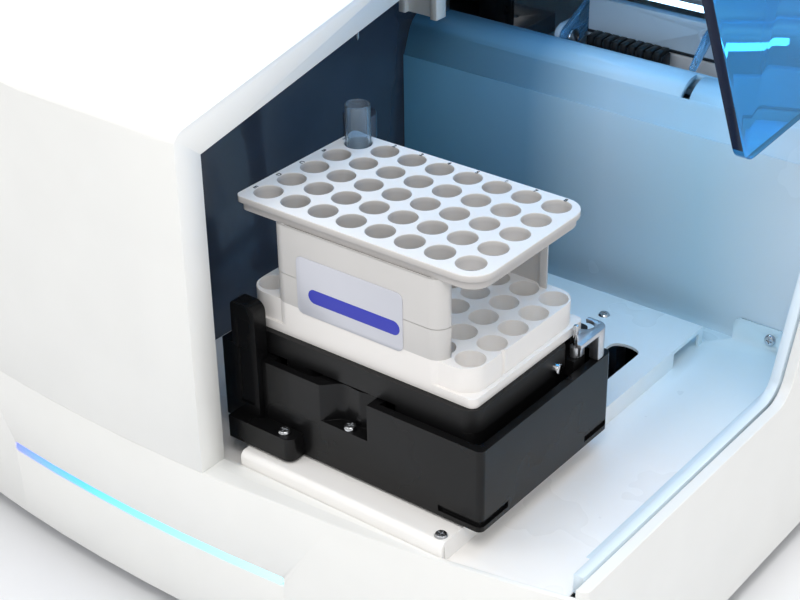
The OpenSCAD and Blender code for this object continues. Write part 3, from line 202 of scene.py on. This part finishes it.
@dataclass(frozen=True)
class Graded(Finish):
    """A finish whose tone runs along one axis of the instrument.

    Attributes:
        axis: 0, 1 or 2 for X, Y or Z.
        start: Where the run starts, in metres.
        end: Where it ends, in metres.
        stops: (place from 0 to 1, linear colour) pairs.
    """

    axis: int = 0
    start: float = 0.0
    end: float = 1.0
    stops: tuple[tuple[float, Colour], ...] = ()

    def toned(self, tree: bpy.types.NodeTree, place: bpy.types.NodeSocket) -> bpy.types.NodeSocket:
        """Returns the colour output: a ramp over the axis, lightly mottled."""
        split = tree.nodes.new("ShaderNodeSeparateXYZ")
        tree.links.new(place, split.inputs[0])
        along = tree.nodes.new("ShaderNodeMapRange")
        along.inputs["From Min"].default_value = self.start
        along.inputs["From Max"].default_value = self.end
        tree.links.new(split.outputs[self.axis], along.inputs["Value"])
        ramp = tree.nodes.new("ShaderNodeValToRGB")
        for index, (where, colour) in enumerate(self.stops):
            elements = ramp.color_ramp.elements
            stop = elements[index] if index < 2 else elements.new(where)
            stop.position = where
            stop.color = (*colour, 1.0)
        tree.links.new(along.outputs["Result"], ramp.inputs["Fac"])
        mottle = tree.nodes.new("ShaderNodeMix")
        mottle.data_type = "RGBA"
        mottle.blend_type = "MULTIPLY"
        mottle.inputs["Factor"].default_value = 1.0
        soft = blend_tones(tree, noise(tree, place, 22.0, 3.0), (1 - self.shade,) * 3, (1, 1, 1))
        first, second = [s for s in mottle.inputs if s.type == "RGBA"]
        tree.links.new(ramp.outputs["Color"], first)
        tree.links.new(soft, second)
        out = next(s for s in mottle.outputs if s.type == "RGBA")
        if self.glow > 0:
            shader = tree.nodes["Principled BSDF"]
            tree.links.new(out, shader.inputs["Emission Color"])
        return out


def noise(tree: bpy.types.NodeTree, place: bpy.types.NodeSocket, scale: float,
          detail: float) -> bpy.types.NodeSocket:
    """Adds a noise texture and returns its value output."""
    node = tree.nodes.new("ShaderNodeTexNoise")
    node.inputs["Scale"].default_value = scale
    node.inputs["Detail"].default_value = detail
    tree.links.new(place, node.inputs["Vector"])
    return node.outputs["Fac"]


def span(tree: bpy.types.NodeTree, value: bpy.types.NodeSocket, low: float,
         high: float) -> bpy.types.NodeSocket:
    """Maps a noise value onto low to high and returns the output."""
    node = tree.nodes.new("ShaderNodeMapRange")
    node.inputs["From Min"].default_value = 0.3
    node.inputs["From Max"].default_value = 0.7
    node.inputs["To Min"].default_value = max(low, 0.02)
    node.inputs["To Max"].default_value = high
    tree.links.new(value, node.inputs["Value"])
    return node.outputs["Result"]


def blend_tones(tree: bpy.types.NodeTree, value: bpy.types.NodeSocket, low: Colour,
                high: Colour) -> bpy.types.NodeSocket:
    """Runs a value through a two-colour ramp and returns its colour."""
    ramp = tree.nodes.new("ShaderNodeValToRGB")
    ramp.color_ramp.elements[0].position = 0.35
    ramp.color_ramp.elements[1].position = 0.65
    ramp.color_ramp.elements[0].color = (*low, 1.0)
    ramp.color_ramp.elements[1].color = (*high, 1.0)
    tree.links.new(value, ramp.inputs["Fac"])
    return ramp.outputs["Color"]


SHELL_WHITE = Finish("shell_white", linear(243, 243, 240), 0.02, 0.36, 0.05, coat=0.15,
                     grain_size=0.0009, relief=0.05)
PANEL_WHITE = Finish("panel_white", linear(240, 240, 237), 0.03, 0.5, grain_size=0.0006, relief=0.2)
# Liner ramp is painted light and shade on a white liner: deep blue painted shade at the left end by
# the navy wall, pale blue painted bay light towards the right.
LINER_PAINTED_LIGHT = Graded("liner_white", linear(236, 243, 250), 0.02, 0.24, 0.05, ior=1.4, relief=0.03,
                     axis=0, start=-0.03, end=0.225,
                     stops=((0.0, linear(112, 180, 216)), (1.0, linear(226, 240, 250)),
                            (0.31, linear(128, 176, 206)), (0.41, linear(176, 208, 226)),
                            (0.5, linear(196, 222, 238)), (0.72, linear(186, 222, 240))))
# Floor ramp is painted blue bay light: white at the front, pale blue towards the back; the platform
# cover wears it too.
FLOOR_PAINTED_LIGHT = Graded("floor_painted_light", linear(240, 244, 249), 0.02, 0.3, 0.05, coat=0.2, relief=0.03,
                     axis=1, start=-0.27, end=-0.03,
                     stops=((0.0, linear(253, 251, 248)), (1.0, linear(210, 240, 254)),
                            (0.5, linear(251, 249, 248))))
NAVY = Finish("navy_panel", linear(76, 84, 98), 0.12, 0.16, 0.04, coat=0.2, relief=0.02)
CHASSIS = Finish("chassis_zinc", linear(186, 188, 191), 0.12, 0.38, metal=0.9,
                 grain=Grain.BRUSHED_X, grain_size=0.0008, relief=0.15)
BEAM_STRIP = Finish("beam_strip", linear(222, 206, 196), 0.04, 0.45, relief=0.05)
BEAM_GREY = Finish("beam_paint", linear(196, 206, 214), 0.05, 0.42, relief=0.1)
BLACK_GLOSS = Finish("tub_black", linear(14, 14, 15), 0.12, 0.27, 0.06, ior=1.3, coat=0.04,
                     grain_size=0.0007, relief=0.1)
BLACK_MATT = Finish("tray_black", linear(18, 18, 19), 0.15, 0.4, 0.08, ior=1.35, grain_size=0.0006,
                    relief=0.18)
RUBBER = Finish("rubber_black", linear(28, 28, 28), 0.2, 0.75, relief=0.3)
STEEL = Finish("ground_steel", linear(178, 179, 182), 0.1, 0.3, metal=1.0,
               grain=Grain.BRUSHED_Y, grain_size=0.0005, relief=0.15)
BRIGHT = Finish("bright_steel", linear(205, 207, 210), 0.06, 0.16, 0.05, metal=1.0, relief=0.04)
ALUMINIUM = Finish("satin_aluminium", linear(200, 202, 206), 0.08, 0.34, metal=0.95,
                   grain=Grain.SPECKLE, grain_size=0.0004, relief=0.12)
RACK_WHITE = Finish("rack_white", linear(238, 235, 232), 0.02, 0.5, 0.05, grain_size=0.0008,
                    relief=0.05)
# Plate ramp is painted shade: full white on the plate's top face, darker below it down the hole
# walls and edges.
RACK_TOP_PAINTED_SHADE = Graded("rack_top_painted_shade", linear(238, 235, 232), 0.01, 0.5, 0.05, grain_size=0.0008, relief=0.05,
                  axis=2, start=0.2145, end=0.217,
                  stops=((0.0, linear(186, 183, 181)), (1.0, linear(245, 242, 239)),
                         (0.75, linear(206, 203, 200))))
# Wall tone is painted shade: the same white plastic as the plate, greyer because the walls face away
# from the light.
RACK_WALL_PAINTED_SHADE = Finish("rack_wall", linear(206, 204, 202), 0.03, 0.5, 0.05, grain_size=0.0008,
                   relief=0.05)
LABEL_GREY = Finish("label_film", linear(200, 202, 211), 0.03, 0.34, relief=0.02)
PILL_BLUE = Finish("label_blue", linear(38, 48, 176), 0.05, 0.3, relief=0.02)
INK = Finish("grid_ink", linear(30, 31, 35), 0.1, 0.5, relief=0.02)
TUBE_CLEAR = Finish("tube_clear", linear(226, 240, 250), 0.01, 0.03, 0.01, clear=0.93, ior=1.14,
                    coat=0.5, relief=0.01)
COVER_TINT = Finish("cover_tint", linear(88, 190, 252), 0.03, 0.04, 0.01, clear=0.72, ior=1.15,
                    relief=0.01)
COVER_EDGE = Finish("cover_edge", linear(6, 22, 52), 0.2, 0.3, 0.05, ior=1.35, coat=0.1, relief=0.03)
ARM_BLUE = Finish("arm_blue", linear(150, 205, 240), 0.03, 0.08, 0.02, clear=0.75, ior=1.3,
                  relief=0.02)
LIGHT_GUIDE = Graded("light_guide", (0.2, 0.5, 1.0), 0.02, 0.3, 0.03, glow=1.6, relief=0.02,
                     axis=0, start=-0.09, end=0.09,
                     stops=((0.0, linear(96, 110, 238)), (0.3, linear(70, 160, 245)),
                            (1.0, linear(150, 232, 250))))
BAY_GLOW = Finish("bay_light_strip", linear(170, 218, 255), 0.02, 0.3, 0.03, glow=6.0, relief=0.02)
MOTOR_BLACK = Finish("motor_black", linear(42, 43, 46), 0.1, 0.42, 0.05, metal=0.3, relief=0.2)
BOARD = Finish("board_green", linear(24, 92, 62), 0.3, 0.4, grain=Grain.SPECKLE, relief=0.2)
PUMP_WHITE = Finish("pump_white", linear(226, 226, 222), 0.04, 0.42, relief=0.1)
BARREL = Finish("clear_acrylic", (0.9, 0.94, 0.96), 0.01, 0.05, 0.01, clear=0.9, ior=1.4,
                relief=0.01)


# ----------------------------------------------------------------- surfaces


def grid_mesh(name: str, points: np.ndarray, wrap_u: bool = False,
              wrap_v: bool = False) -> bpy.types.Object:
    """Builds a mesh from a grid of points P(u, v), one quad per grid cell.

    Cell (i, j) joins points (i, j), (i+1, j), (i+1, j+1) and (i, j+1); wrapping joins the last
    row or column to the first.

    Args:
        name: Object name.
        points: Array of shape (rows, columns, 3).
        wrap_u: Whether rows close into a loop.
        wrap_v: Whether columns close into a loop.

    Returns:
        The linked object.
    """
    rows, cols = points.shape[:2]
    i = np.arange(rows if wrap_u else rows - 1)
    j = np.arange(cols if wrap_v else cols - 1)
    ii, jj = np.meshgrid(i, j, indexing="ij")
    i2, j2 = (ii + 1) % rows, (jj + 1) % cols
    faces = np.stack([ii * cols + jj, i2 * cols + jj, i2 * cols + j2, ii * cols + j2], axis=-1)
    mesh = bpy.data.meshes.new(name)
    mesh.from_pydata(points.reshape(-1, 3).tolist(), [], faces.reshape(-1, 4).tolist())
    return linked(name, mesh)


def linked(name: str, mesh: bpy.types.Mesh) -> bpy.types.Object:
    """Returns a new object that carries the mesh, linked to the scene."""
    mesh.validate()
    piece = bpy.data.objects.new(name, mesh)
    bpy.context.scene.collection.objects.link(piece)
    return piece


def lathe(name: str, profile: np.ndarray, centre: Point, steps: int = 64) -> bpy.types.Object:
    """Turns a closed (radius, height) profile about a vertical axis.

    P(u, v) = centre + (r(u) cos v, r(u) sin v, z(u)) for v once round.

    Args:
        name: Object name.
        profile: Array of (radius, height) rows.
        centre: Foot of the axis.
        steps: Points round the axis.

    Returns:
        The linked object.
    """
    angle = np.linspace(0, 2 * math.pi, steps, endpoint=False)
    r, z = profile[:, 0][:, None], profile[:, 1][:, None]
    grid = np.stack([r * np.cos(angle), r * np.sin(angle), z + 0 * angle], axis=-1)
    return grid_mesh(name, grid + np.array(centre), wrap_v=True)


def bar(name: str, low: Point, high: Point) -> bpy.types.Object:
    """Makes a soft-edged bar along X between two corners.

    Each ring is a superellipse, y = cy + hy c |c|^-0.7 and z = cz + hz s |s|^-0.7 with c and s the
    cosine and sine of the turn, and the two end rings close to a point.

    Args:
        name: Object name.
        low: Lowest corner.
        high: Highest corner.

    Returns:
        The linked object.
    """
    a, b = np.array(low), np.array(high)
    mid, half = 0.5 * (a + b), 0.5 * (b - a)
    turn = np.linspace(0, 2 * math.pi, 32, endpoint=False) + math.pi / 32
    c, s = np.cos(turn), np.sin(turn)
    along = np.array([a[0], a[0], a[0] + 0.3 * MM, b[0] - 0.3 * MM, b[0], b[0]])
    scale = np.array([0.0, 0.9, 1.0, 1.0, 0.9, 0.0])
    y = mid[1] + scale[:, None] * half[1] * c * np.abs(c) ** -0.7
    z = mid[2] + scale[:, None] * half[2] * s * np.abs(s) ** -0.7
    grid = np.stack([np.broadcast_to(along[:, None], y.shape), y, z], axis=-1)
    return smoothed(merged(grid_mesh(name, grid, wrap_v=True)))


def merged(piece: bpy.types.Object, distance: float = 1e-6) -> bpy.types.Object:
    """Merges doubles and turns the faces outwards; returns the same piece."""
    work = bmesh.new()
    work.from_mesh(piece.data)
    bmesh.ops.remove_doubles(work, verts=work.verts, dist=distance)
    bmesh.ops.recalc_face_normals(work, faces=work.faces)
    work.to_mesh(piece.data)
    work.free()
    return piece


def smoothed(piece: bpy.types.Object, degrees: float = 32.0) -> bpy.types.Object:
    """Shades a piece smooth across all edges flatter than the given angle."""
    mesh = piece.data
    work = bmesh.new()
    work.from_mesh(mesh)
    limit = math.radians(degrees)
    for edge in work.edges:
        edge.smooth = len(edge.link_faces) == 2 and edge.calc_face_angle(0.0) < limit
    work.to_mesh(mesh)
    work.free()
    mesh.shade_smooth()
    return piece


@dataclass
class Softener:
    """Makes a soft-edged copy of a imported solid, to be shown in its place.

    Attributes:
        parts: Node name to the body that carries it.
    """

    frame: dict
    parts: dict[str, str] = field(default_factory=dict)

    def __post_init__(self) -> None:
        """Reads each node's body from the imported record."""
        for body, nodes in self.frame["record"]["behaviour"]["bodies"].items():
            self.parts.update({node: body for node in nodes})

    def copy(self, node: str, finish: Finish, round_mm: float = 0.6, segments: int = 2,
             angle: float = 32.0, flat: bool = False) -> bpy.types.Object:
        """Copies a node's mesh, merges it, rounds its sharp edges and dresses it.

        Args:
            node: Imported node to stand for.
            finish: Finish of the whole piece.
            round_mm: Width of the rounded edges, in millimetres; 0 keeps every facet as packed.
            segments: Steps across a rounded edge.
            angle: Edges sharper than this are rounded, in degrees.
            flat: Whether large faces govern the shading of their rims.

        Returns:
            The new piece, riding on the node's body.
        """
        piece = linked(f"{node}_skin", self.frame["nodes"][node].data.copy())
        work = bmesh.new()
        work.from_mesh(piece.data)
        bmesh.ops.remove_doubles(work, verts=work.verts, dist=2e-6)
        if round_mm > 0:
            bmesh.ops.dissolve_limit(work, angle_limit=math.radians(0.6), verts=work.verts,
                                     edges=work.edges, use_dissolve_boundaries=False)
        work.to_mesh(piece.data)
        work.free()
        if round_mm > 0:
            bevel = piece.modifiers.new("soft_edges", "BEVEL")
            bevel.width = round_mm * MM
            bevel.segments = segments
            bevel.limit_method = "ANGLE"
            bevel.angle_limit = math.radians(angle)
            bevel.use_clamp_overlap = True
            bevel.harden_normals = True
            bevel.miter_outer = "MITER_ARC"
            baked(piece)
        smoothed(piece, angle)
        if flat:
            even = piece.modifiers.new("even_normals", "WEIGHTED_NORMAL")
            even.mode = "FACE_AREA"
            even.weight = 100
            even.thresh = 0.01
        return self.dress(piece, finish, node)

    def dress(self, piece: bpy.types.Object, finish: Finish, node: str) -> bpy.types.Object:
        """Gives the piece its finish and puts it in the node's place."""
        piece.data.materials.clear()
        piece.data.materials.append(finish.material())
        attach(piece, self.parts[node])
        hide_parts(node)
        return piece

    def keep(self, node: str, finish: Finish) -> None:
        """Leaves a node's own mesh in view, with a better finish."""
        shown = self.frame["nodes"][node]
        shown.data.materials.clear()
        shown.data.materials.append(finish.material())


def baked(piece: bpy.types.Object) -> None:
    """Applies a piece's modifiers to its mesh."""
    graph = bpy.context.evaluated_depsgraph_get()
    mesh = bpy.data.meshes.new_from_object(piece.evaluated_get(graph))
    piece.modifiers.clear()
    piece.data = mesh


def add_trim(piece: bpy.types.Object, finish: Finish, body: str) -> bpy.types.Object:
    """Dresses a new piece and lets it ride on a body."""
    piece.data.materials.clear()
    piece.data.materials.append(finish.material())
    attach(piece, body)
    return piece


# ----------------------------------------------------------------- housing


@dataclass
class Housing:
    """The white covers, their status light and the pan and feet below."""

    soft: Softener

    def build(self) -> None:
        """Dresses every outer panel."""
        for node, width in (("hood", 1.2), ("lower_front_panel", 0.9), ("right_side_panel", 1.2),
                            ("rear_roof", 0.9)):
            self.soft.copy(node, SHELL_WHITE, width, 3, flat=node == "right_side_panel")
            LOG.info("dressed %s", node)
        self.soft.copy("rear_panel", PANEL_WHITE, 0.0, flat=True)
        self.soft.copy("base_pan", CHASSIS, 0.5)
        self.soft.copy("feet", RUBBER, 0.6)
        self.soft.copy("status_light", LIGHT_GUIDE, 0.4)


@dataclass
class SamplerBay:
    """The bay's liner, floor, platform and what is fixed in it."""

    soft: Softener

    def build(self) -> None:
        """Dresses the bay."""
        self.soft.copy("bay_liner", LINER_PAINTED_LIGHT, 0.6)
        self.soft.copy("bay_floor", FLOOR_PAINTED_LIGHT, 0.0, flat=True)
        self.soft.copy("platform_cover", FLOOR_PAINTED_LIGHT, 0.4, 3, flat=True)
        self.soft.copy("bay_left_wall", NAVY, 0.5)
        self.soft.copy("bay_screws", BRIGHT, 0.12)
        self.soft.copy("bay_light", BAY_GLOW, 0.4)
        self.soft.copy("bulkhead", CHASSIS, 0.3)
        self.soft.copy("hinge_beam", BEAM_GREY, 0.6)
        self.soft.copy("interlock_switch", BLACK_MATT, 0.3)
        self.soft.copy("cable_chain", BLACK_MATT, 0.4)
        self.soft.copy("wash_station", NAVY, 0.3)
        self.beam_face()

    def beam_face(self) -> None:
        """Lays the hinge beam's dark seam and the pale strip under it on the beam's front."""
        body = self.soft.parts["hinge_beam"]
        seam = bar("beam_seam", (0.060, 0.0136, 0.2168), (0.1995, 0.0147, 0.2182))
        strip = bar("beam_strip", (0.1035, 0.0133, 0.2045), (0.1995, 0.0147, 0.2164))
        add_trim(seam, INK, body)
        add_trim(strip, BEAM_STRIP, body)


@dataclass
class LiftCover:
    """The tinted cover, its arms, tongue and pins."""

    soft: Softener

    def build(self) -> None:
        """Dresses the cover and darkens its cut edges."""
        cover = self.soft.copy("tinted_cover", COVER_TINT, 0.8, 3)
        cover.data.materials.append(COVER_EDGE.material())
        self.mark_edges(cover.data)
        self.soft.copy("cover_arms", ARM_BLUE, 0.4)
        self.soft.copy("interlock_tongue", ARM_BLUE, 0.4)
        self.soft.copy("hinge_pins", BRIGHT, 0.3)

    def mark_edges(self, mesh: bpy.types.Mesh) -> None:
        """Puts the dark edge finish on faces that lie across the sheet's thickness.

        A face lies across the sheet when it is small and narrow: its area over its longest
        edge is no more than the sheet's thickness.
        """
        thick = 5.2 * MM
        for face in mesh.polygons:
            points = [mesh.vertices[i].co for i in face.vertices]
            longest = max((points[k] - points[k - 1]).length for k in range(len(points)))
            narrow = face.area / max(longest, 1e-9)
            if narrow < thick and longest > thick:
                face.material_index = 1


@dataclass
class Carriage:
    """The sliding tub, its drive, the shaker and the corner clamp."""

    soft: Softener

    def build(self) -> None:
        """Dresses the carriage."""
        self.soft.copy("carriage_tub", BLACK_GLOSS, 0.6, 3, flat=True)
        self.soft.copy("carriage_post", BLACK_GLOSS, 0.5, flat=True)
        self.soft.copy("shaker_tray", BLACK_MATT, 0.8, 3, flat=True)
        self.soft.copy("corner_clamp", ALUMINIUM, 0.5)
        self.soft.copy("carriage_screws", BRIGHT, 0.12)
        self.soft.copy("tray_pins", BRIGHT, 0.3)
        for node, finish in (("shaker_motor", MOTOR_BLACK), ("shaker_crank", STEEL),
                             ("cross_slide", ALUMINIUM), ("carriage_slide", ALUMINIUM),
                             ("drive_rails", STEEL), ("lead_screw", STEEL),
                             ("stepper_motors", MOTOR_BLACK)):
            self.soft.copy(node, finish, 0.2)


@dataclass
class TubeRack:
    """The rack's plate, walls and base, the label, the grid marks and the tube."""

    soft: Softener
    centre: Point = (0.105, -0.1975, 0.217)
    pitch: float = 0.0155

    def build(self) -> None:
        """Dresses the rack and prints its label and grid marks."""
        self.soft.copy("rack_plate", RACK_TOP_PAINTED_SHADE, 0.35, flat=True)
        self.soft.copy("rack_walls", RACK_WALL_PAINTED_SHADE, 0.0, flat=True)
        self.soft.copy("rack_base", RACK_WHITE, 0.35, flat=True)
        self.soft.copy("rack_label", LABEL_GREY, 0.1)
        self.pill()
        self.grid_marks()
        self.tube()

    def pill(self) -> None:
        """Lays a plain blue pill on the label: a rounded bar, P(u, v) = arc(u) scaled by v."""
        half, radius = 21.5 * MM, 3.4 * MM
        turn = np.linspace(0, 2 * math.pi, 48, endpoint=False)
        x = np.where(np.cos(turn) >= 0, half, -half) + radius * np.cos(turn)
        z = radius * np.sin(turn)
        rings = np.array([0.0, 0.6, 0.96, 1.0, 1.0])
        lift = np.array([0.10, 0.10, 0.10, 0.06, 0.0]) * MM
        cx, cy, cz = self.centre
        grid = np.stack([
            cx + 1.0 * MM + rings[:, None] * x,
            np.broadcast_to(cy - 42.1 * MM - lift[:, None], (5, 48)),
            cz - 36.2 * MM + rings[:, None] * z], axis=-1)
        piece = merged(grid_mesh("label_pill", grid, wrap_v=True))
        add_trim(smoothed(piece), PILL_BLUE, "rack")

    def grid_marks(self) -> None:
        """Marks the columns along the back edge and the rows along the left edge."""
        cx, cy, cz = self.centre
        for column in range(8):
            self.mark(str(column + 1), cx + (column - 3.5) * self.pitch, cy + 38.1 * MM, cz)
        for row, letter in enumerate("EDCBA"):
            self.mark(letter, cx - 61.9 * MM, cy + (row - 2) * self.pitch, cz)

    def mark(self, letter: str, x: float, y: float, z: float) -> None:
        """Prints one plain grid letter, flat on the plate."""
        curve = bpy.data.curves.new(f"mark_{letter}", "FONT")
        curve.body = letter
        curve.size = 3.1 * MM
        curve.align_x = "CENTER"
        curve.align_y = "CENTER"
        curve.extrude = 0.04 * MM
        curve.offset = 0.1 * MM
        text = bpy.data.objects.new(f"mark_{letter}", curve)
        bpy.context.scene.collection.objects.link(text)
        graph = bpy.context.evaluated_depsgraph_get()
        mesh = bpy.data.meshes.new_from_object(text.evaluated_get(graph))
        mesh.transform(Matrix.Translation((x, y, z + 0.03 * MM)))
        bpy.data.objects.remove(text)
        add_trim(linked(f"grid_mark_{letter}", mesh), INK, "rack")

    def tube(self) -> None:
        """Turns the clear tube: round bottom, thin wall and a fire-polished rim."""
        low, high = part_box("sample_tube")
        centre = (0.5 * (low.x + high.x), 0.5 * (low.y + high.y), low.z)
        radius, wall, height = 6.0 * MM, 0.95 * MM, high.z - low.z
        arc = np.linspace(0, math.pi / 2, 12)
        lip = np.linspace(0, math.pi, 9)
        inner = radius - wall
        outer_r = np.concatenate([radius * np.sin(arc), radius - wall / 2 + wall / 2 * np.cos(lip)])
        outer_z = np.concatenate([radius - radius * np.cos(arc),
                                  height - wall / 2 + wall / 2 * np.sin(lip)])
        inner_r = inner * np.sin(arc[::-1])
        inner_z = radius - inner * np.cos(arc[::-1])
        profile = np.stack([np.concatenate([outer_r, inner_r]),
                            np.concatenate([outer_z, inner_z])], axis=1)
        piece = merged(lathe("clear_tube", profile, centre, 72))
        self.soft.dress(smoothed(piece), TUBE_CLEAR, "sample_tube")


@dataclass
class Probe:
    """The gantry with its belt, carriage, arm and needle."""

    soft: Softener

    def build(self) -> None:
        """Dresses the gantry."""
        for node, finish, width in (("gantry_beam", ALUMINIUM, 0.5),
                                    ("probe_carriage", PUMP_WHITE, 0.6),
                                    ("probe_arm", STEEL, 0.4), ("gantry_belt", RUBBER, 0.0),
                                    ("drive_pulley", ALUMINIUM, 0.0),
                                    ("idler_pulley", ALUMINIUM, 0.0)):
            self.soft.copy(node, finish, width)
        self.soft.copy("probe_needle", BRIGHT, 0.0)


@dataclass
class Inside:
    """Optics, fluidics, electronics and the rear connectors."""

    soft: Softener

    def build(self) -> None:
        """Dresses the inner pieces."""
        for node, finish, width in (
                ("optical_bench", ALUMINIUM, 0.5), ("laser_heads", MOTOR_BLACK, 0.0),
                ("detector_array", MOTOR_BLACK, 0.3),
                ("syringe_barrel", BARREL, 0.4), ("syringe_plunger", PUMP_WHITE, 0.3),
                ("peristaltic_pump", PUMP_WHITE, 0.5), ("pump_rotor", MOTOR_BLACK, 0.3),
                ("electronics", BOARD, 0.3), ("fan_frame", BLACK_MATT, 0.3),
                ("fan_rotor", BLACK_MATT, 0.2), ("rear_connectors", BLACK_MATT, 0.3),
                ("power_switch", BLACK_GLOSS, 0.3)):
            self.soft.copy(node, finish, width)


# ----------------------------------------------------------------- studio


@dataclass
class Studio:
    """A pale bench, soft lights and the camera."""

    eye: Point = (0.5121, -0.7209, 0.5497)
    azimuth: float = 38.3456
    elevation: float = 29.994
    roll: float = -0.9641
    lens: float = 77.56

    def build(self) -> None:
        """Sets bench, lights, world and camera."""
        self.bench()
        self.world()
        self.lamp("key_softbox", (-0.55, -1.25, 1.55), (0.0, 0.0, 0.12), 1.3, 6.0, (1, 1, 1))
        self.lamp("side_softbox", (1.6, -0.5, 1.2), (0.1, 0.0, 0.1), 1.0, 1.5, (0.96, 0.98, 1.0))
        self.lamp("top_softbox", (0.1, 0.4, 2.0), (0.1, 0.0, 0.1), 1.2, 20.0, (1, 1, 1))
        self.lamp("bay_softbox", (0.36, -0.5, 0.66), (0.1, -0.06, 0.12), 0.25, 1.4,
                  (1.0, 0.98, 0.96))
        self.camera()

    def bench(self) -> None:
        """A wide floor that rises in a soft cove: z = 0, then a quarter circle, then a wall."""
        flat = np.linspace(-3.0, 2.2, 14)
        arc = np.linspace(0, math.pi / 2, 14)
        y = np.concatenate([flat, 2.2 + 0.9 * np.sin(arc[1:]), [3.1]])
        z = np.concatenate([0 * flat, 0.9 - 0.9 * np.cos(arc[1:]), [3.6]])
        x = np.linspace(-4.0, 4.0, 9)
        grid = np.stack([np.broadcast_to(x[None, :], (len(y), 9)),
                         np.broadcast_to(y[:, None], (len(y), 9)),
                         np.broadcast_to(z[:, None], (len(y), 9))], axis=-1)
        floor = grid_mesh("bench", grid)
        floor.data.shade_smooth()
        finish = Finish("bench_white", linear(242, 243, 245), 0.01, 0.6, 0.03, relief=0.02)
        floor.data.materials.append(finish.material())

    def world(self) -> None:
        """A white sky for the camera, a softer one for the object."""
        world = bpy.data.worlds.new("studio")
        bpy.context.scene.world = world
        world.use_nodes = True
        tree = world.node_tree
        back = tree.nodes["Background"]
        back.inputs["Color"].default_value = (1, 1, 1, 1)
        path = tree.nodes.new("ShaderNodeLightPath")
        mix = tree.nodes.new("ShaderNodeMapRange")
        mix.inputs["To Min"].default_value = 0.62
        mix.inputs["To Max"].default_value = 1.0
        tree.links.new(path.outputs["Is Camera Ray"], mix.inputs["Value"])
        tree.links.new(mix.outputs["Result"], back.inputs["Strength"])

    def lamp(self, name: str, place: Point, aim: Point, size: float, power: float,
             tone: Colour) -> None:
        """Adds one square softbox that faces its aim."""
        light = bpy.data.lights.new(name, "AREA")
        light.shape = "SQUARE"
        light.size = size
        light.energy = power
        light.color = tone
        lamp = bpy.data.objects.new(name, light)
        bpy.context.scene.collection.objects.link(lamp)
        lamp.location = place
        lamp.rotation_euler = (Vector(aim) - Vector(place)).to_track_quat("-Z", "Y").to_euler()

    def camera(self) -> None:
        """Places the camera from its azimuth, elevation and roll."""
        data = bpy.data.cameras.new("camera")
        data.lens = self.lens
        data.sensor_width = 36.0
        data.clip_end = 20.0
        camera = bpy.data.objects.new("camera", data)
        bpy.context.scene.collection.objects.link(camera)
        az, el = math.radians(self.azimuth), math.radians(self.elevation)
        look = Vector((-math.sin(az) * math.cos(el), math.cos(az) * math.cos(el), -math.sin(el)))
        turn = look.to_track_quat("-Z", "Y").to_matrix().to_4x4()
        roll = Matrix.Rotation(math.radians(self.roll), 4, "Z")
        camera.matrix_world = Matrix.Translation(self.eye) @ turn @ roll
        bpy.context.scene.camera = camera


def main() -> None:
    """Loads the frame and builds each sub-assembly."""
    logging.basicConfig(level=logging.INFO, format="%(name)s: %(message)s")
    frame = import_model()
    soft = Softener(frame)
    Studio().build()
    for part in (Housing(soft), SamplerBay(soft), LiftCover(soft), Carriage(soft), TubeRack(soft),
                 Probe(soft), Inside(soft)):
        part.build()
        LOG.info("built %s", type(part).__name__)
    bpy.context.scene.view_settings.view_transform = "Standard"


if __name__ == "__main__":
    main()
